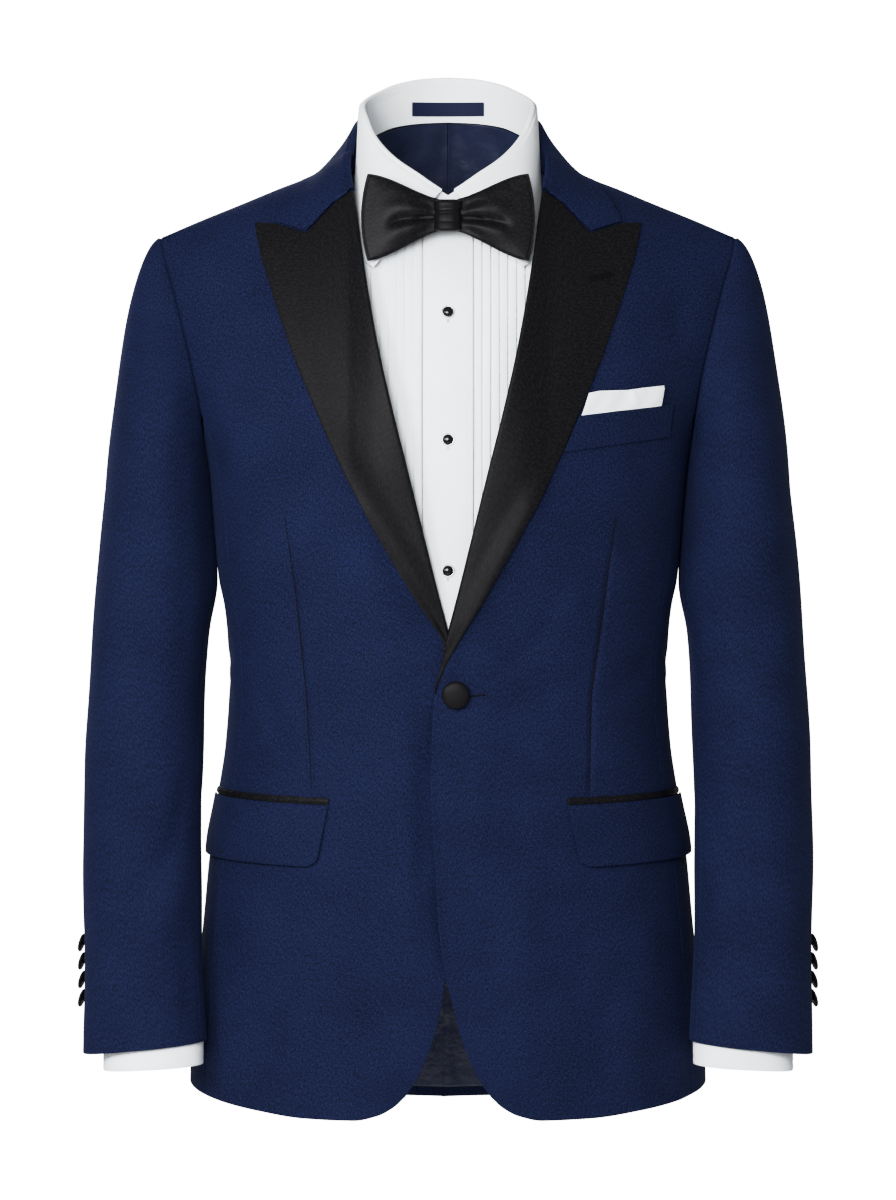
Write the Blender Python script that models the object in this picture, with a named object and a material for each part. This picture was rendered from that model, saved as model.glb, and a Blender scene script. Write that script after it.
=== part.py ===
"""A single-breasted tuxedo in size 40 regular, worn by nobody: jacket, dress shirt front and bow tie.

The garment stands as if a body filled it: +Z is up, the front faces -Y and the wearer's left side
is at +X. The origin is between the shoulders, level with the side of the neck.

The jacket's body is one surface. Its level sections are superellipses whose sizes are in the table
BODY, and above the chest it closes over the shoulders along the line in the table RIDGE. Every
panel is a patch of that surface between its own seams, and what is sewn on a panel is the same
surface moved out. Lengths are in metres; tables are in millimetres and say so.
"""
import math
from collections import namedtuple

import bmesh
import bpy
from mathutils import Matrix, Vector

MM = 0.001
SEAM = 0.3 * MM            # gap between two pieces sewn together
LAID = 0.5 * MM            # gap under a piece that lies on a panel

WOOL = 1.8 * MM            # fronts and side panels
WOOL_BACK = 1.5 * MM
WOOL_SLEEVE = 1.5 * MM
SATIN = 1.6 * MM           # lapels
LINING = 1.0 * MM
LINING_GAP = 2.0 * MM      # the lining hangs a little free of the wool
POPLIN = 1.2 * MM

# ---------------------------------------------------------------- tables, in millimetres
BodyLevel = namedtuple("BodyLevel", "z half_width front back")
BODY = (
    BodyLevel(110, 236, 124, 128),
    BodyLevel(-70, 236, 124, 128),
    BodyLevel(-100, 233, 124, 128),
    BodyLevel(-130, 228, 125, 129),
    BodyLevel(-160, 220, 126, 129),
    BodyLevel(-195, 206, 127, 128),
    BodyLevel(-216, 197.5, 127, 127),
    BodyLevel(-235, 192.8, 127, 125),
    BodyLevel(-251, 190.4, 127, 123),
    BodyLevel(-297, 186.6, 127, 117),
    BodyLevel(-336, 183.5, 126, 112),
    BodyLevel(-361, 179, 125.5, 110),
    BodyLevel(-384, 176.5, 125, 108.5),
    BodyLevel(-424, 175.2, 124.5, 108),
    BodyLevel(-464, 177.7, 124.5, 110),
    BodyLevel(-512, 184.8, 125.5, 115),
    BodyLevel(-576, 193.5, 127, 121),
    BodyLevel(-640, 199.5, 127.5, 125),
    BodyLevel(-726, 206.5, 127, 128),
    BodyLevel(-780, 207.5, 126, 128.5),
)
RING_POWER = 2.4           # 2 is an ellipse, more is squarer

RidgePoint = namedtuple("RidgePoint", "x z")
RIDGE = (
    RidgePoint(0, 110),
    RidgePoint(20, 101),
    RidgePoint(40, 84),
    RidgePoint(55, 61),
    RidgePoint(68, 28),
    RidgePoint(78, 5.5),
    RidgePoint(92, -4.5),
    RidgePoint(112, -14.5),
    RidgePoint(134, -23),
    RidgePoint(165, -35.8),
    RidgePoint(196, -48.3),
    RidgePoint(226, -61),
    RidgePoint(240, -67),
)
FRONT_REACH = 330 * MM     # height over which the front rounds off from the shoulder to full depth
BACK_REACH = 260 * MM
REACH_POWER = 1.8

# The front's free edge: neck, roll line of the lapel, front edge, cutaway.
EdgePoint = namedtuple("EdgePoint", "z x")
FRONT_EDGE = (
    EdgePoint(4, 79),
    EdgePoint(-12, 77.5),
    EdgePoint(-27, 76),
    EdgePoint(-45, 73),
    EdgePoint(-72, 69.3),
    EdgePoint(-107, 63.8),
    EdgePoint(-152, 55.5),
    EdgePoint(-199, 45),
    EdgePoint(-247, 33),
    EdgePoint(-304, 19),
    EdgePoint(-341, 9.8),
    EdgePoint(-376, 0.6),
    EdgePoint(-391, -2.9),
    EdgePoint(-405, -7),
    EdgePoint(-416, -9.9),
    EdgePoint(-433, -11.8),
    EdgePoint(-489, -13.5),
    EdgePoint(-567, -9.8),
    EdgePoint(-600, -7.8),
    EdgePoint(-622, -5.3),
    EdgePoint(-644, -1.4),
    EdgePoint(-661, 2.5),
    EdgePoint(-687, 9),
    EdgePoint(-705.5, 15.5),
    EdgePoint(-725, 24.6),
    EdgePoint(-738, 33.8),
)
UNDER_SHIFT = 3 * MM       # the right front's edge lies this much less far across, below the lapel

HemPoint = namedtuple("HemPoint", "turn z")   # turn in degrees round the body, 0 at the front centre
HEM = (
    HemPoint(6.5, -738),
    HemPoint(8.7, -746.6),
    HemPoint(12, -753.5),
    HemPoint(17, -757.3),
    HemPoint(29, -756.4),
    HemPoint(43, -752),
    HemPoint(57, -747),
    HemPoint(70, -742),
    HemPoint(88, -737),
    HemPoint(110, -744),
    HemPoint(140, -757),
    HemPoint(180, -763),
)

ArmholePoint = namedtuple("ArmholePoint", "z front_x back_x")
ARMHOLE = (
    ArmholePoint(-62.2, 229, 229),
    ArmholePoint(-80, 225.5, 226.5),
    ArmholePoint(-94, 221, 224),
    ArmholePoint(-129, 211.6, 216),
    ArmholePoint(-160, 204, 206.5),
    ArmholePoint(-186, 198.9, 196),
    ArmholePoint(-208, 195.4, 190),
)
UNDERARM_DIP = 25 * MM          # the armhole's lowest point, below its ends at the side panel

# Seams of the side panel, in degrees round the body.
SeamLevel = namedtuple("SeamLevel", "z front back")
SIDE_SEAMS = (
    SeamLevel(-208, 75, 110.8),
    SeamLevel(-300, 69, 117),
    SeamLevel(-430, 67, 120),
    SeamLevel(-780, 67, 118),
)

NeckPoint = namedtuple("NeckPoint", "x z")
NECK_SEAM = (
    NeckPoint(0, 34),
    NeckPoint(20, 33),
    NeckPoint(40, 30),
    NeckPoint(60, 22.5),
    NeckPoint(70, 13.5),
    NeckPoint(79, 3.6),
)

SleeveLevel = namedtuple("SleeveLevel", "z outer inner centre_y half_depth")
SLEEVE = (
    SleeveLevel(-262, 273.8, 190.9, 3, 70),
    SleeveLevel(-300, 278, 187.9, 0, 68),
    SleeveLevel(-336, 280.8, 185.8, -4, 66),
    SleeveLevel(-384, 284.3, 190.4, -11, 62),
    SleeveLevel(-432, 286.9, 193.5, -20, 58),
    SleeveLevel(-480, 289.1, 195, -30, 54),
    SleeveLevel(-542, 290.1, 196, -44, 49),
    SleeveLevel(-605, 288.9, 195.2, -58, 43.5),
    SleeveLevel(-667, 288, 192.8, -71, 38.5),
    SleeveLevel(-712, 288.8, 189.5, -79, 35.5),
)
SLEEVE_POWER = 2.2
SLEEVE_HEM = -702.6 * MM
SLEEVE_HEM_TILT = 5.2 * MM      # the hem is this much lower at the outer edge, higher at the inner
FOREARM_SEAM = 0.43             # place round the sleeve: 0 outer, 0.25 front, 0.5 inner, 0.75 back
ELBOW_SEAM = 0.93
SLEEVE_SEAM = 0.0012            # half the gap at a sleeve seam, as a share of the way round
ARMHOLE_GAP = 0.9 * MM          # the sleeve starts this far out from the body

# ---------------------------------------------------------------- jacket sizes

NECK_SIDE_X = 79 * MM           # the shoulder seam runs from here
SHOULDER_X = 229 * MM           # to here
SHOULDER_SEAM = 0.5 * MM        # the seam's two edges lie this far before and behind the ridge
SHOULDER_SHARE = 0.6            # share of the back's top edge that is shoulder; the rest is neck
NECK_COLUMNS = (0, 0.09, 0.22, 0.4, 0.68, 1)    # the grids' columns from neck side to centre
ARMHOLE_ROW = 7                 # the row of the body's grids at which the side panel begins
WAIST_Z = -400 * MM
LOW_SIDE_Z = -745 * MM          # the hem at the side seams, to the nearest centimetre
UNDER_SHIFT_HEIGHTS = (376 * MM, 433 * MM)
FRONT_SHIFT = 1.3 * MM          # left front out, right front in, where they cross
CROSSING = (18 * MM, 60 * MM)   # the shift fades out between these distances from the centre
FRONT_CROWDING = 1.2            # the front's columns crowd toward its free edge
LINING_SIDE_TURN = math.radians(124)
LINING_SHOULDER_X = 150 * MM
LINING_BELOW_RIDGE = 14 * MM
LINING_STRIP = 8 * MM           # wool shows below the lining at the back hem
NECK_CENTRE_Y = 6 * MM          # centre of the neck's rings

# ---------------------------------------------------------------- small helpers


def smooth_curve(points):
    """A monotone cubic through (place, value) pairs; it never swings past two neighbouring rows."""
    points = sorted(points)
    places = [place for place, _ in points]
    values = [value for _, value in points]
    count = len(places)
    steps = [places[i + 1] - places[i] for i in range(count - 1)]
    slopes = [(values[i + 1] - values[i]) / steps[i] for i in range(count - 1)]
    tangents = [slopes[0]]
    for i in range(1, count - 1):
        before, after = slopes[i - 1], slopes[i]
        if before * after <= 0:
            tangents.append(0.0)
        else:
            weight_before = 2 * steps[i] + steps[i - 1]
            weight_after = steps[i] + 2 * steps[i - 1]
            total = weight_before + weight_after
            tangents.append(total / (weight_before / before + weight_after / after))
    tangents.append(slopes[-1])

    def value_at(place):
        place = min(max(place, places[0]), places[-1])
        i = 0
        while i < count - 2 and place > places[i + 1]:
            i += 1
        t = (place - places[i]) / steps[i]
        rise = tangents[i] * steps[i] * t * (1 - t) ** 2
        fall = tangents[i + 1] * steps[i] * t * t * (t - 1)
        blend = t * t * (3 - 2 * t)
        return values[i] * (1 - blend) + values[i + 1] * blend + rise + fall

    return value_at


def column(rows, place, value, scale=MM, place_scale=MM):
    """One named column of a table as a smooth curve of another."""
    return smooth_curve([(getattr(row, place) * place_scale, getattr(row, value) * scale)
                         for row in rows])


def signed_power(value, power):
    return math.copysign(abs(value) ** power, value)


def ease(value, start, end):
    """0 at start, 1 at end, smooth between."""
    t = min(max((value - start) / (end - start), 0.0), 1.0)
    return t * t * (3 - 2 * t)


def mix(a, b, share):
    return a * (1 - share) + b * share


half_width = column(BODY, "z", "half_width")
front_depth = column(BODY, "z", "front")
back_depth = column(BODY, "z", "back")
ridge_height = column(RIDGE, "x", "z")
front_edge_x = column(FRONT_EDGE, "z", "x")
hem_height = column(HEM, "turn", "z", place_scale=math.radians(1))
armhole_front_x = column(ARMHOLE, "z", "front_x")
armhole_back_x = column(ARMHOLE, "z", "back_x")
side_seam_front = column(SIDE_SEAMS, "z", "front", scale=math.radians(1))
side_seam_back = column(SIDE_SEAMS, "z", "back", scale=math.radians(1))
neck_height = column(NECK_SEAM, "x", "z")

# ---------------------------------------------------------------- the body's surface


def shoulder_rounding(drop, reach):
    """Share of the full depth reached at this drop below the shoulder ridge."""
    if drop >= reach:
        return 1.0
    return (1 - (1 - max(drop, 0.0) / reach) ** REACH_POWER) ** (1 / REACH_POWER)


def body_point(turn, z):
    """A point on the jacket's outside; turn is 0 at the front centre, 90 degrees at the left side."""
    x = half_width(z) * signed_power(math.sin(turn), 2 / RING_POWER)
    facing = math.cos(turn)
    depth = front_depth(z) if facing > 0 else back_depth(z)
    reach = mix(FRONT_REACH, BACK_REACH, ease(abs(turn), math.radians(60), math.radians(120)))
    rounding = shoulder_rounding(ridge_height(abs(x)) - z, reach)
    y = -depth * signed_power(facing, 2 / RING_POWER) * rounding
    return Vector((x, y, z))


def body_normal(turn, z):
    """The direction straight out of the cloth."""
    step_turn = 0.004
    step_z = 0.4 * MM
    across = body_point(turn + step_turn, z) - body_point(turn - step_turn, z)
    down = body_point(turn, z - step_z) - body_point(turn, z)
    normal = down.cross(across)
    return normal.normalized()


def turn_at(x, z, back=False):
    """How far round the body a point at this x lies."""
    share = min(abs(x) / half_width(z), 1.0)
    turn = math.copysign(math.asin(share ** (RING_POWER / 2)), x)
    return math.pi - turn if back else turn


def body_place(x, z, back=False):
    return (turn_at(x, z, back), z)


def overlap_shift(turn, z, amount):
    """Where the fronts cross, one is moved out and the other in."""
    x = abs(body_point(turn, z).x)
    return amount * (1 - ease(x, *CROSSING))


# ---------------------------------------------------------------- walls


def make_object(name, vertices, faces, material, smooth=True):
    mesh = bpy.data.meshes.new(name)
    mesh.from_pydata([tuple(v) for v in vertices], [], faces)
    sheet = bmesh.new()
    sheet.from_mesh(mesh)
    bmesh.ops.recalc_face_normals(sheet, faces=sheet.faces)
    sheet.to_mesh(mesh)
    sheet.free()
    mesh.materials.append(material)
    if smooth:
        mesh.shade_smooth()
        mesh.set_sharp_from_angle(angle=math.radians(40))
    piece = bpy.data.objects.new(name, mesh)
    bpy.context.scene.collection.objects.link(piece)
    return piece


def wall(name, outside, inside, material, round_way=False):
    """A closed wall between two grids of points; round_way joins the last column to the first."""
    rows = len(outside)
    columns = len(outside[0])
    vertices = [p for row in outside for p in row] + [p for row in inside for p in row]
    offset = rows * columns
    faces = []
    last = columns if round_way else columns - 1

    def index(row, col):
        return row * columns + col % columns

    for row in range(rows - 1):
        for col in range(last):
            quad = (index(row, col), index(row, col + 1), index(row + 1, col + 1), index(row + 1, col))
            faces.append(quad)
            faces.append(tuple(offset + i for i in reversed(quad)))
    for col in range(last):
        for row in (0, rows - 1):
            a, b = index(row, col), index(row, col + 1)
            quad = (b, a, offset + a, offset + b)
            faces.append(quad if row == 0 else tuple(reversed(quad)))
    if not round_way:
        for row in range(rows - 1):
            for col in (0, columns - 1):
                a, b = index(row, col), index(row + 1, col)
                quad = (a, b, offset + b, offset + a)
                faces.append(quad if col == 0 else tuple(reversed(quad)))
    return make_object(name, vertices, faces, material)


def on_side(point, side):
    """The same point on the wearer's left (side 1) or right (side -1)."""
    return Vector((point.x * side, point.y, point.z))


def body_wall(name, places, out, thickness, material, side=1, shift=0.0, lift=None):
    """A wall on the body: its outside lies out above the surface, at the places (turn, z).

    lift(row share, column share) moves a point further out, as where a flap stands off.
    """
    outside, inside = [], []
    for i, row in enumerate(places):
        outside_row, inside_row = [], []
        for j, (turn, z) in enumerate(row):
            height = out + overlap_shift(turn, z, shift)
            if lift is not None:
                height += lift(i / (len(places) - 1), j / (len(row) - 1))
            base = body_point(turn, z)
            normal = body_normal(turn, z)
            outside_row.append(on_side(base + normal * height, side))
            inside_row.append(on_side(base + normal * (height - thickness), side))
        outside.append(outside_row)
        inside.append(inside_row)
    return wall(name, outside, inside, material)


def patch(near, far, top, bottom, across, down):
    """A grid of places inside four edges: near and far are functions of the way down (0 to 1),
    top and bottom of the way across; across and down list the grid's own steps."""

    def blend(a, b, share):
        return tuple(mix(p, q, share) for p, q in zip(a, b))

    grid = []
    for v in down:
        row = []
        for u in across:
            sides = blend(near(v), far(v), u)
            ends = blend(top(u), bottom(u), v)
            corners = blend(blend(near(0), far(0), u), blend(near(1), far(1), u), v)
            row.append(tuple(s + e - c for s, e, c in zip(sides, ends, corners)))
        grid.append(row)
    return grid


def even_steps(count):
    return [i / count for i in range(count + 1)]


def shoulder_steps(count, close):
    """Rows that start close together at the shoulder, where the cloth turns over, and end even."""
    unit = close * close + 2 * close * (count - close)
    steps = []
    for i in range(count + 1):
        steps.append((i * i if i <= close else close * close + 2 * close * (i - close)) / unit)
    return steps


def path_through(points):
    """A polyline as a function of 0..1 of its own length."""
    lengths = [0.0]
    for a, b in zip(points, points[1:]):
        lengths.append(lengths[-1] + math.dist(a, b))

    def at(share):
        goal = share * lengths[-1]
        i = 0
        while i < len(points) - 2 and goal > lengths[i + 1]:
            i += 1
        t = (goal - lengths[i]) / (lengths[i + 1] - lengths[i])
        return tuple(mix(p, q, t) for p, q in zip(points[i], points[i + 1]))

    return at


# ---------------------------------------------------------------- materials


def cloth_material(name, colour, roughness, metallic=0.0):
    material = bpy.data.materials.new(name)
    material.use_nodes = True
    shader = material.node_tree.nodes["Principled BSDF"]
    shader.inputs["Base Color"].default_value = (*colour, 1)
    shader.inputs["Roughness"].default_value = roughness
    shader.inputs["Metallic"].default_value = metallic
    return material


def make_materials():
    return {
        "wool": cloth_material("navy_wool", (0.012, 0.022, 0.075), 0.85),
        "satin": cloth_material("black_satin", (0.018, 0.018, 0.02), 0.4),
        "lining": cloth_material("navy_lining", (0.008, 0.012, 0.03), 0.35),
        "poplin": cloth_material("white_poplin", (0.85, 0.86, 0.88), 0.8),
        "label": cloth_material("navy_label", (0.01, 0.02, 0.08), 0.6),
        "stud": cloth_material("black_stud", (0.01, 0.01, 0.012), 0.12),
    }


# ---------------------------------------------------------------- jacket body

def shoulder_place(x, back=False):
    """The end of a panel at the shoulder seam."""
    z = ridge_height(x)
    depth = back_depth(z) if back else front_depth(z)
    depth *= (1 - (x / half_width(z)) ** RING_POWER) ** (1 / RING_POWER)
    reach = BACK_REACH if back else FRONT_REACH
    drop = reach * (1 - (1 - (SHOULDER_SEAM / depth) ** REACH_POWER) ** (1 / REACH_POWER))
    return body_place(x, z - drop, back)


SHOULDER_Z = shoulder_place(SHOULDER_X)[1]
FRONT_HEM_TURN = side_seam_front(LOW_SIDE_Z)
BACK_HEM_TURN = side_seam_back(LOW_SIDE_Z)
BODY_ROWS = shoulder_steps(20, ARMHOLE_ROW)
ARMHOLE_SHARE = BODY_ROWS[ARMHOLE_ROW]


def front_level(share):
    """Height of the side edge of the front, from the shoulder (0) to the hem (1)."""
    return mix(SHOULDER_Z, hem_height(FRONT_HEM_TURN), share)


def back_level(share):
    return mix(SHOULDER_Z, hem_height(BACK_HEM_TURN), share)


ARMHOLE_FRONT_Z = front_level(ARMHOLE_SHARE)    # where the side panel's front seam ends
ARMHOLE_BACK_Z = back_level(ARMHOLE_SHARE)      # where its back seam ends


def front_panel(side, materials):
    """A front, from the shoulder seam to the hem, between its free edge and the side seam."""
    neck_z = shoulder_place(NECK_SIDE_X)[1]
    corner_z = FRONT_EDGE[-1].z * MM
    corner_turn = turn_at(front_edge_x(corner_z), corner_z)

    def free_edge(v):
        z = mix(neck_z, corner_z, v)
        x = front_edge_x(z)
        if side < 0:
            x -= UNDER_SHIFT * ease(-z, *UNDER_SHIFT_HEIGHTS)
        return body_place(x, z)

    def outer_edge(v):
        z = front_level(v)
        if v < ARMHOLE_SHARE:
            return body_place(armhole_front_x(z), z)
        return (side_seam_front(z), z)

    def shoulder(u):
        return shoulder_place(mix(NECK_SIDE_X, SHOULDER_X, u))

    def hem(u):
        turn = mix(corner_turn, FRONT_HEM_TURN, u)
        return (turn, hem_height(turn))

    across = [share ** FRONT_CROWDING for share in even_steps(10)]
    places = patch(free_edge, outer_edge, shoulder, hem, across, BODY_ROWS)
    name = "front_left" if side > 0 else "front_right"
    body_wall(name, places, 0, WOOL, materials["wool"], side, shift=FRONT_SHIFT * side)


def underarm_place(share):
    """The armhole's lowest stretch, from the side panel's front seam (0) to its back seam (1)."""
    turn = mix(side_seam_front(ARMHOLE_FRONT_Z), side_seam_back(ARMHOLE_BACK_Z), share)
    z = mix(ARMHOLE_FRONT_Z, ARMHOLE_BACK_Z, share) - UNDERARM_DIP * math.sin(math.pi * share)
    return (turn, z)


def side_panel(side, materials):
    """From the underarm to the hem; its rows meet the front's and the back's."""
    front_gap = SEAM / half_width(WAIST_Z)
    back_gap = 2 * front_gap

    def front_seam(v):
        z = mix(ARMHOLE_FRONT_Z, front_level(1), v)
        return (side_seam_front(z) + front_gap, z)

    def back_seam(v):
        z = mix(ARMHOLE_BACK_Z, back_level(1), v)
        return (side_seam_back(z) - back_gap, z)

    def top(u):
        return (mix(front_seam(0)[0], back_seam(0)[0], u), underarm_place(u)[1])

    def hem(u):
        turn = mix(front_seam(1)[0], back_seam(1)[0], u)
        return (turn, hem_height(turn))

    down = [(share - ARMHOLE_SHARE) / (1 - ARMHOLE_SHARE) for share in BODY_ROWS[ARMHOLE_ROW:]]
    places = patch(front_seam, back_seam, top, hem, even_steps(5), down)
    name = "side_panel_left" if side > 0 else "side_panel_right"
    body_wall(name, places, 0, WOOL, materials["wool"], side)


def turn_beside_centre(gap):
    """The turn of an edge that lies this far from the back's centre line."""
    return math.pi - (gap / half_width(WAIST_Z)) ** (RING_POWER / 2)


def back_panel(side, materials):
    centre_turn = turn_beside_centre(SEAM)

    def outer_edge(v):
        z = back_level(v)
        if v < ARMHOLE_SHARE:
            return body_place(armhole_back_x(z), z, True)
        return (side_seam_back(z), z)

    def centre_seam(v):
        return (centre_turn, mix(neck_height(0), hem_height(math.pi), v))

    shoulder_line = [shoulder_place(mix(SHOULDER_X, NECK_SIDE_X, t), True) for t in even_steps(12)]
    neck_line = []
    for t in even_steps(8):
        x = mix(NECK_SIDE_X, 0, t)
        z = min(neck_height(x), ridge_height(x) - SHOULDER_SEAM)
        neck_line.append((min(turn_at(x, z, True), centre_turn), z))
    neck_line[0] = shoulder_line[-1]

    def top(u):
        if u <= SHOULDER_SHARE:
            line, share = shoulder_line, u / SHOULDER_SHARE
        else:
            line, share = neck_line, (u - SHOULDER_SHARE) / (1 - SHOULDER_SHARE)
        position = share * (len(line) - 1)
        i = min(int(position), len(line) - 2)
        return tuple(mix(p, q, position - i) for p, q in zip(line[i], line[i + 1]))

    def hem(u):
        turn = mix(BACK_HEM_TURN, centre_turn, u)
        return (turn, hem_height(turn))

    across = [SHOULDER_SHARE * i / 5 for i in range(5)]
    across += [mix(SHOULDER_SHARE, 1, share) for share in NECK_COLUMNS]
    places = patch(outer_edge, centre_seam, top, hem, across, BODY_ROWS)
    name = "back_left" if side > 0 else "back_right"
    body_wall(name, places, 0, WOOL_BACK, materials["wool"], side)


def back_lining(side, materials):
    """The satin lining inside the back; it stops short of the hem, over a strip of the wool."""
    centre_turn = turn_beside_centre(2 * SEAM)

    def top_place(x):
        z = min(neck_height(x) - LINING, ridge_height(x) - LINING_BELOW_RIDGE)
        return (min(turn_at(x, z, True), centre_turn), z)

    high_turn, high_z = top_place(LINING_SHOULDER_X)

    def outer_edge(v):
        turn = mix(high_turn, LINING_SIDE_TURN, ease(v, 0, 0.4))
        return (turn, mix(high_z, hem_height(LINING_SIDE_TURN) + LINING_STRIP, v))

    def centre_seam(v):
        return (centre_turn, mix(top_place(0)[1], hem_height(math.pi) + LINING_STRIP, v))

    def top(u):
        return top_place(LINING_SHOULDER_X * (1 - u))

    def hem(u):
        turn = mix(LINING_SIDE_TURN, centre_turn, u)
        return (turn, hem_height(turn) + LINING_STRIP)

    across = [0, 0.2, 0.37] + [1 - NECK_SIDE_X * (1 - share) / LINING_SHOULDER_X
                               for share in NECK_COLUMNS]
    places = patch(outer_edge, centre_seam, top, hem, across, shoulder_steps(14, 5))
    name = "back_lining_left" if side > 0 else "back_lining_right"
    body_wall(name, places, -WOOL_BACK - LINING_GAP, LINING, materials["lining"], side)


# ---------------------------------------------------------------- sleeves

sleeve_outer = column(SLEEVE, "z", "outer")
sleeve_inner = column(SLEEVE, "z", "inner")
sleeve_centre_y = column(SLEEVE, "z", "centre_y")
sleeve_half_depth = column(SLEEVE, "z", "half_depth")
CAP_BOTTOM = SLEEVE[0].z * MM


def armhole_loop():
    """The armhole seam as two paths of points from the shoulder down to the underarm."""
    front = []
    back = []
    for i in range(25):
        t = (i / 24) ** 1.6
        z = mix(SHOULDER_Z, ARMHOLE_FRONT_Z, t)
        front.append(tuple(body_point(*body_place(armhole_front_x(z), z))))
        z = mix(SHOULDER_Z, ARMHOLE_BACK_Z, t)
        back.append(tuple(body_point(*body_place(armhole_back_x(z), z, True))))
    for i in range(1, 11):
        front.append(tuple(body_point(*underarm_place(0.5 * i / 10))))
        back.append(tuple(body_point(*underarm_place(1 - 0.5 * i / 10))))
    return path_through(front), path_through(back)


ARMHOLE_PATHS = armhole_loop()


def armhole_point(place):
    """The seam at a place round the sleeve: 0 at the shoulder, 0.25 front, 0.5 under, 0.75 back."""
    place %= 1.0
    path = ARMHOLE_PATHS[0] if place <= 0.5 else ARMHOLE_PATHS[1]
    share = 2 * place if place <= 0.5 else 2 * (1 - place)
    return Vector(path(share)) + Vector((ARMHOLE_GAP, 0, 0))


def sleeve_ring_point(place, z):
    """The sleeve's outside below the cap."""
    outer, inner = sleeve_outer(z), sleeve_inner(z)
    angle = 2 * math.pi * place
    reach = 2 / SLEEVE_POWER
    x = (outer + inner) / 2 + (outer - inner) / 2 * signed_power(math.cos(angle), reach)
    y = sleeve_centre_y(z) - sleeve_half_depth(z) * signed_power(math.sin(angle), reach)
    return Vector((x, y, z))


def sleeve_hem_z(place):
    return SLEEVE_HEM - SLEEVE_HEM_TILT * math.cos(2 * math.pi * place)


# How the cap leaves the armhole and how it arrives at the top of the arm, at each of three places.
CAP_LEAVES = {"outer": Vector((20, 0, -4)) * MM, "side": Vector((15, 0, -13)) * MM,
              "inner": Vector((-2.6, 0, -12)) * MM}
CAP_ARRIVES = {"outer": Vector((7.8, 0, -97)) * MM, "side": Vector((0, 0, -45)) * MM,
               "inner": Vector((-1.1, 0, -12)) * MM}
CAP_BULGE = 11 * MM        # the cap's roll forward of the seam, and back of it


def sleeve_point(place, way):
    """The sleeve's outside; way is 0 at the armhole, 1 at the foot of the cap and 2 at the hem."""
    if way >= 1:
        z = mix(CAP_BOTTOM, sleeve_hem_z(place), way - 1)
        return sleeve_ring_point(place, z)
    angle = 2 * math.pi * place
    along, beside = math.cos(angle), math.sin(angle)
    end = "outer" if along > 0 else "inner"
    weight = along * along
    leaves = CAP_LEAVES[end] * weight + CAP_LEAVES["side"] * (1 - weight)
    leaves.y -= CAP_BULGE * beside
    arrives = CAP_ARRIVES[end] * weight + CAP_ARRIVES["side"] * (1 - weight)
    start = armhole_point(place)
    finish = sleeve_ring_point(place, CAP_BOTTOM)
    t = way
    return (start * (1 - t) ** 3 + (start + leaves) * 3 * t * (1 - t) ** 2
            + (finish - arrives) * 3 * t * t * (1 - t) + finish * t ** 3)


def sleeve_normal(place, way):
    step = 0.004
    if way < 1:
        low, high = max(way - step, 0.0), min(way + step, 1.0)
    else:
        low, high = way, way + step
    across = sleeve_point(place + step, way) - sleeve_point(place - step, way)
    down = sleeve_point(place, high) - sleeve_point(place, low)
    return across.cross(down).normalized()


def sleeve_piece(name, start, end, columns, side, materials):
    ways = [(i / 6) ** 1.3 for i in range(6)] + [1 + i / 8 for i in range(9)]
    outside, inside = [], []
    for way in ways:
        outside_row, inside_row = [], []
        for i in range(columns + 1):
            place = mix(start, end, i / columns)
            point = sleeve_point(place, way)
            normal = sleeve_normal(place, way)
            outside_row.append(on_side(point, side))
            inside_row.append(on_side(point - normal * WOOL_SLEEVE, side))
        outside.append(outside_row)
        inside.append(inside_row)
    wall(name, outside, inside, materials["wool"])


def sleeve(side, materials):
    end = "left" if side > 0 else "right"
    sleeve_piece("top_sleeve_" + end, ELBOW_SEAM - 1, FOREARM_SEAM, 12, side, materials)
    sleeve_piece("under_sleeve_" + end, FOREARM_SEAM + SLEEVE_SEAM, ELBOW_SEAM - SLEEVE_SEAM, 9,
                 side, materials)


# ---------------------------------------------------------------- collar and lapels

LapelEdge = namedtuple("LapelEdge", "z left right")
LAPEL_OUTER_EDGE = (
    LapelEdge(-51.6, 153.2, 153.2),
    LapelEdge(-76, 148, 148),
    LapelEdge(-101, 140.5, 140.5),
    LapelEdge(-147, 124.8, 124.8),
    LapelEdge(-197, 104.5, 104.5),
    LapelEdge(-252, 79.8, 79.8),
    LapelEdge(-299, 55.4, 54.8),
    LapelEdge(-339, 33, 31),
    LapelEdge(-353, 25, 21.9),
    LapelEdge(-366, 17.1, 12.9),
    LapelEdge(-379, 9.4, 4.4),
    LapelEdge(-387, 4.8, 2),
    LapelEdge(-394, 1, 0.8),
    LapelEdge(-402, -3.2, -2.4),
    LapelEdge(-411, -7, -6.4),
    LapelEdge(-418, -9, -8.6),
    LapelEdge(-433, -11, -10.8),
)
lapel_outer_x = {1: column(LAPEL_OUTER_EDGE, "z", "left"),
                 -1: column(LAPEL_OUTER_EDGE, "z", "right")}
GORGE_TOP = (76.2 * MM, -27.2 * MM)       # where the gorge seam meets the roll line
GORGE_MIDDLE = (87.7 * MM, -35.0 * MM)
NOTCH = (111.3 * MM, -60.1 * MM)
COLLAR_CORNER = (136.9 * MM, -52.6 * MM)
PEAK = (153.2 * MM, -51.6 * MM)
COLLAR_GAP = 0.9 * MM                     # between the collar's end and the lapel's top edge
LAPEL_LAID = 1.0 * MM
LEFT_LAPEL_FOOT = -421 * MM
RIGHT_LAPEL_FOOT = -380 * MM              # it goes out of sight below the left front here
SATIN_HEIGHT = LAPEL_LAID + SATIN         # the lapel's face above the front


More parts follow.
